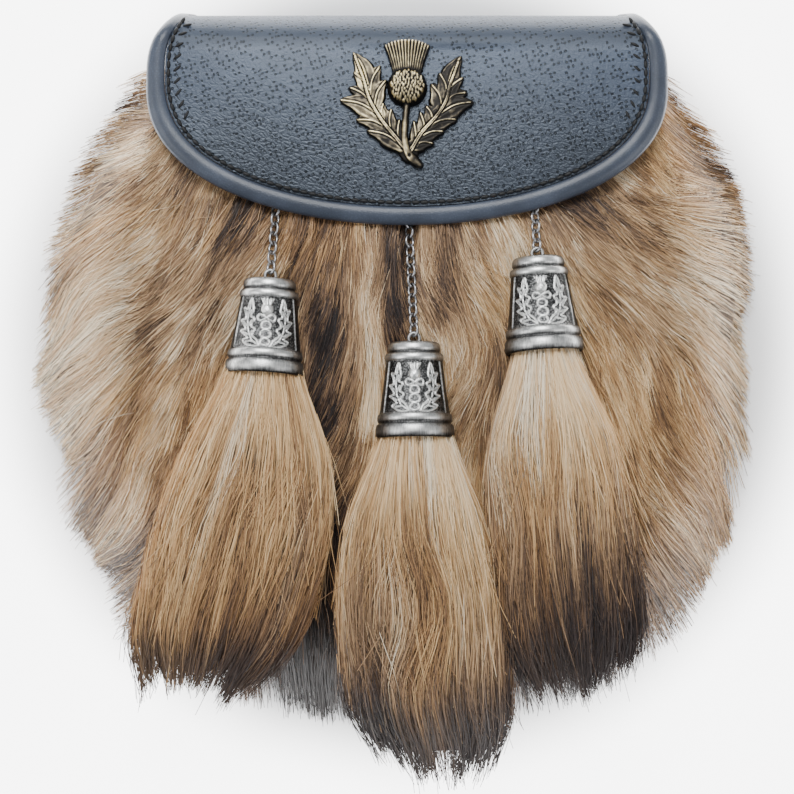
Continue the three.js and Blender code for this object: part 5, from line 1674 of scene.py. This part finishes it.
def fur_tone(x, y):
    """Tone of the coat over a place: cream, with its patches, streaks along the hair and a dark hem."""
    tone = np.full(np.shape(x), 0.64)
    middle = np.exp(-((x + 2) / 34) ** 2) * smooth_step((-y - 55) / 20)
    tone = tone - 0.15 * middle + (0.1 + 0.13 * middle) * drift_noise(x / 6 + 20, y / 19 + 20, 81)
    tone = tone + 0.08 * drift_noise(x / 3 + 40, y / 11 + 20, 82)
    tone = tone - 0.34 * smooth_step((edge_share(x, y) + 0.2) / 0.6) * smooth_step((-y - 165) / 25)
    for patch_x, patch_y, wide, tall, lean, paler in FUR_PATCHES:
        px, py = pixel(patch_x, patch_y)
        lean = math.radians(lean)
        dx, dy = x - px, y - py
        side = dx * math.cos(lean) + dy * math.sin(lean)
        up = -dx * math.sin(lean) + dy * math.cos(lean)
        gap = (side / (wide * PIXEL)) ** 2 + (up / (tall * PIXEL)) ** 2
        tone = tone + paler * np.exp(-gap)
    return tone


COAT_TURNS = np.linspace(-180, 180, 181)[:-1]
COAT_SHARES = np.concatenate([np.linspace(0.02, 0.98, 26), 1 + 0.5 * np.linspace(0.05, 1, 10)])
COAT_THICK = 2.2
COAT_LOWEST = 0.3


def make_coat():
    """The woolly coat under the long hair: one closed sheet from under the flap to the floor.

    Its shares run from the centre to 1 at the pouch's edge, and on to 1.5 at three quarters of the rim.
    """
    body, fur = rim_reaches(np.degrees(np.radians(COAT_TURNS)))
    upper, lower = [], []
    for share in COAT_SHARES:
        reach = np.where(share <= 1, body * share, body + (fur - body) * (share - 1) * 1.5)
        x = reach * np.sin(np.radians(COAT_TURNS))
        y = np.minimum(-FUR_CENTRE - reach * np.cos(np.radians(COAT_TURNS)), -MOUTH_DROP + 1)
        ripple = 0.5 * np.sin(x / 2.3 + y / 9) + 0.4 * np.sin(x / 1.1 - y / 7)
        z = np.minimum(coat_height(x, y) - 0.6 + ripple * (share < 1.4), tassel_floor(x, y) - 1.5)
        z = np.minimum(z, chain_floor(x, y) - 0.4)
        if share > 1:
            under = np.maximum(z - COAT_THICK, COAT_LOWEST)
        else:
            under = np.minimum(front_height(x, y) + FIT * 0.5, z - 0.2)
        upper.append(np.column_stack([x, y, z]))
        lower.append(np.column_stack([x, y, under]))
    rings = upper + lower[::-1]
    mesh = build_mesh("coat", np.vstack(rings), loft_faces(len(rings), len(COAT_TURNS)))
    face_outwards(mesh)
    return mesh


coat = add_piece("coat", make_coat(), hair_core)
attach(coat, "root")
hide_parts("fur_pelt")

FUR_CLUMP = 3.0
FUR_WIDE = (-96, 96)
FUR_TALL = (-205, -14)
FUR_LOWEST = 0.4
FUR_HIGHEST = 6


def comb_fur(seed, count, steps, long, share_from, share_to, under_tassels):
    """Long hairs that start on the hide, follow the lie of the coat and gather into small locks.

    They start between two shares of the way to the edge. under_tassels is the share of them that is kept
    where a tassel lies over them.
    """
    rng = np.random.default_rng(seed)
    x, y = rng.uniform(*FUR_WIDE, count * 9), rng.uniform(*FUR_TALL, count * 9)
    share = edge_share(x, y)
    hidden = tassel_floor(x, y) < OPEN_ABOVE
    flap_reach = np.hypot(x / (FLAP_WIDTH / 2 - 7), np.minimum(y + 26, 0) / 40)
    under_flap = (flap_reach < 0.86) & (y > -62)
    keep = (share > share_from) & (share < share_to) & ~under_flap
    keep &= ~hidden | (rng.uniform(0, 1, len(x)) < under_tassels)
    x, y, share = x[keep][:count], y[keep][:count], share[keep][:count]
    count = len(x)
    jumble_x, jumble_y = x + 2 * drift_noise(x / 5, y / 5, 70), y + 4 * drift_noise(x / 6, y / 6, 71)
    column, row = np.floor(jumble_x / FUR_CLUMP), np.floor(jumble_y / (2 * FUR_CLUMP))
    unique, which = np.unique((column * 7919 + row * 104729).astype(np.int64), return_inverse=True)
    clumps = len(unique)
    members = np.bincount(which, minlength=clumps)
    cx, cy = (np.bincount(which, along, clumps)[which] / members[which] for along in (x, y))
    clump_tone, clump_lift = rng.normal(0, 1, clumps)[which], rng.uniform(0, 1, clumps)[which]
    length = long * rng.uniform(0.65, 1.1, count) * rng.uniform(0.8, 1.1, clumps)[which]
    own_turn = rng.normal(0, 0.08, count) + rng.normal(0, 0.11, clumps)[which]
    own_turn = own_turn + rng.normal(0, 1, count) ** 3 * 0.03
    bend = rng.normal(0, 0.16, count)
    points = np.zeros((count, steps, 3))
    px, py = x.copy(), y.copy()
    deep = rng.uniform(-7, 1.5, count) * smooth_step((share + 0.25) / 0.25)
    base = rng.uniform(0, 1, count) ** 1.3 * 3.0 + clump_lift * 2.0
    for k, s in enumerate(np.linspace(0, 1, steps)):
        pull = 0.5 * s ** 1.3
        here_x, here_y = px + (cx - px) * pull, py + (cy - py) * pull
        rise = base * (0.35 + 0.65 * math.sin(math.pi * min(1, 0.15 + s * 0.8)))
        z = coat_height(here_x, here_y) + np.where(y > -60, 0.35, 1.0) * rise + deep * (1 - s * 0.5)
        over = np.minimum(tassel_floor(here_x, here_y), chain_floor(here_x, here_y))
        z = np.where(over < OPEN_ABOVE, np.minimum(z, over - 0.2), z)
        points[:, k] = np.column_stack([here_x, here_y, np.maximum(z, FUR_LOWEST)])
        step = length / (steps - 1)
        flow = 0.24 * drift_noise(px / 22 + 10, py / 30 + 20, 91)
        flow = flow + 0.12 * drift_noise(px / 7 + 10, py / 12 + 20, 92)
        for line_x, line_y, twist in ((px, py, flow + own_turn + bend * s), (cx, cy, flow)):
            way_x, way_y = comb(line_x, line_y)
            line_x += step * (way_x * np.cos(twist) - way_y * np.sin(twist))
            line_y += step * (way_x * np.sin(twist) + way_y * np.cos(twist))
    tip_share = edge_share(points[:, -1, 0], points[:, -1, 1])
    around = np.degrees(np.arctan2(x, y))
    limit = rng.uniform(0.9, 1.04, count) + 0.05 * drift_noise(around / 2, y * 0, 60)
    limit = limit + (rng.uniform(0, 1, count) < 0.03) * rng.uniform(0, 0.12, count)
    over = np.clip((tip_share - limit) / np.maximum(tip_share - share, 0.1), 0, 0.85)
    root = points[:, :1, :2]
    points[:, :, :2] = root + (points[:, :, :2] - root) * (1 - over)[:, None, None]
    high = coat_height(points[:, 1:, 0], points[:, 1:, 1]) + FUR_HIGHEST
    points[:, 1:, 2] = np.maximum(np.minimum(points[:, 1:, 2], high), FUR_LOWEST)
    tone = fur_tone(points[:, steps // 2, 0], points[:, steps // 2, 1])
    tone = tone + 0.1 * clump_tone + 0.11 * rng.normal(0, 1, count)
    golden = drift_noise(x / 26 + 10, y / 30 + 20, 93) + 0.4 * rng.normal(0, 1, count) > 0.1
    kinds = np.where(golden, GOLDEN, PLAIN) + (rng.uniform(0, 1, count) < 0.3)
    return points, tone, kinds


FUR_FIELD = 84000
FUR_RIM = 20000
FUR_HAIR_WIDTH = 0.17
FIELD_LONG = 27
RIM_LONG = 48
RIM_STARTS = -0.3
field = comb_fur(7, FUR_FIELD, 3, FIELD_LONG, -99, RIM_STARTS, 0.12)
rim = comb_fur(8, FUR_RIM, 5, RIM_LONG, RIM_STARTS, 0.03, 0.75)
for zone, (paths, tone, kinds) in (("fur", field), ("rim", rim)):
    start_x, start_y = paths[:, 0, 0], paths[:, 0, 1]
    quarter = np.where(start_x < 0, 0, 1) + 2 * (start_y < np.median(start_y))
    for number, part in enumerate(("upper_left", "upper_right", "lower_left", "lower_right")):
        mine = quarter == number
        grow_hair(zone + "_" + part, paths[mine], tone[mine], kinds[mine], FUR_HAIR_WIDTH, "fur")
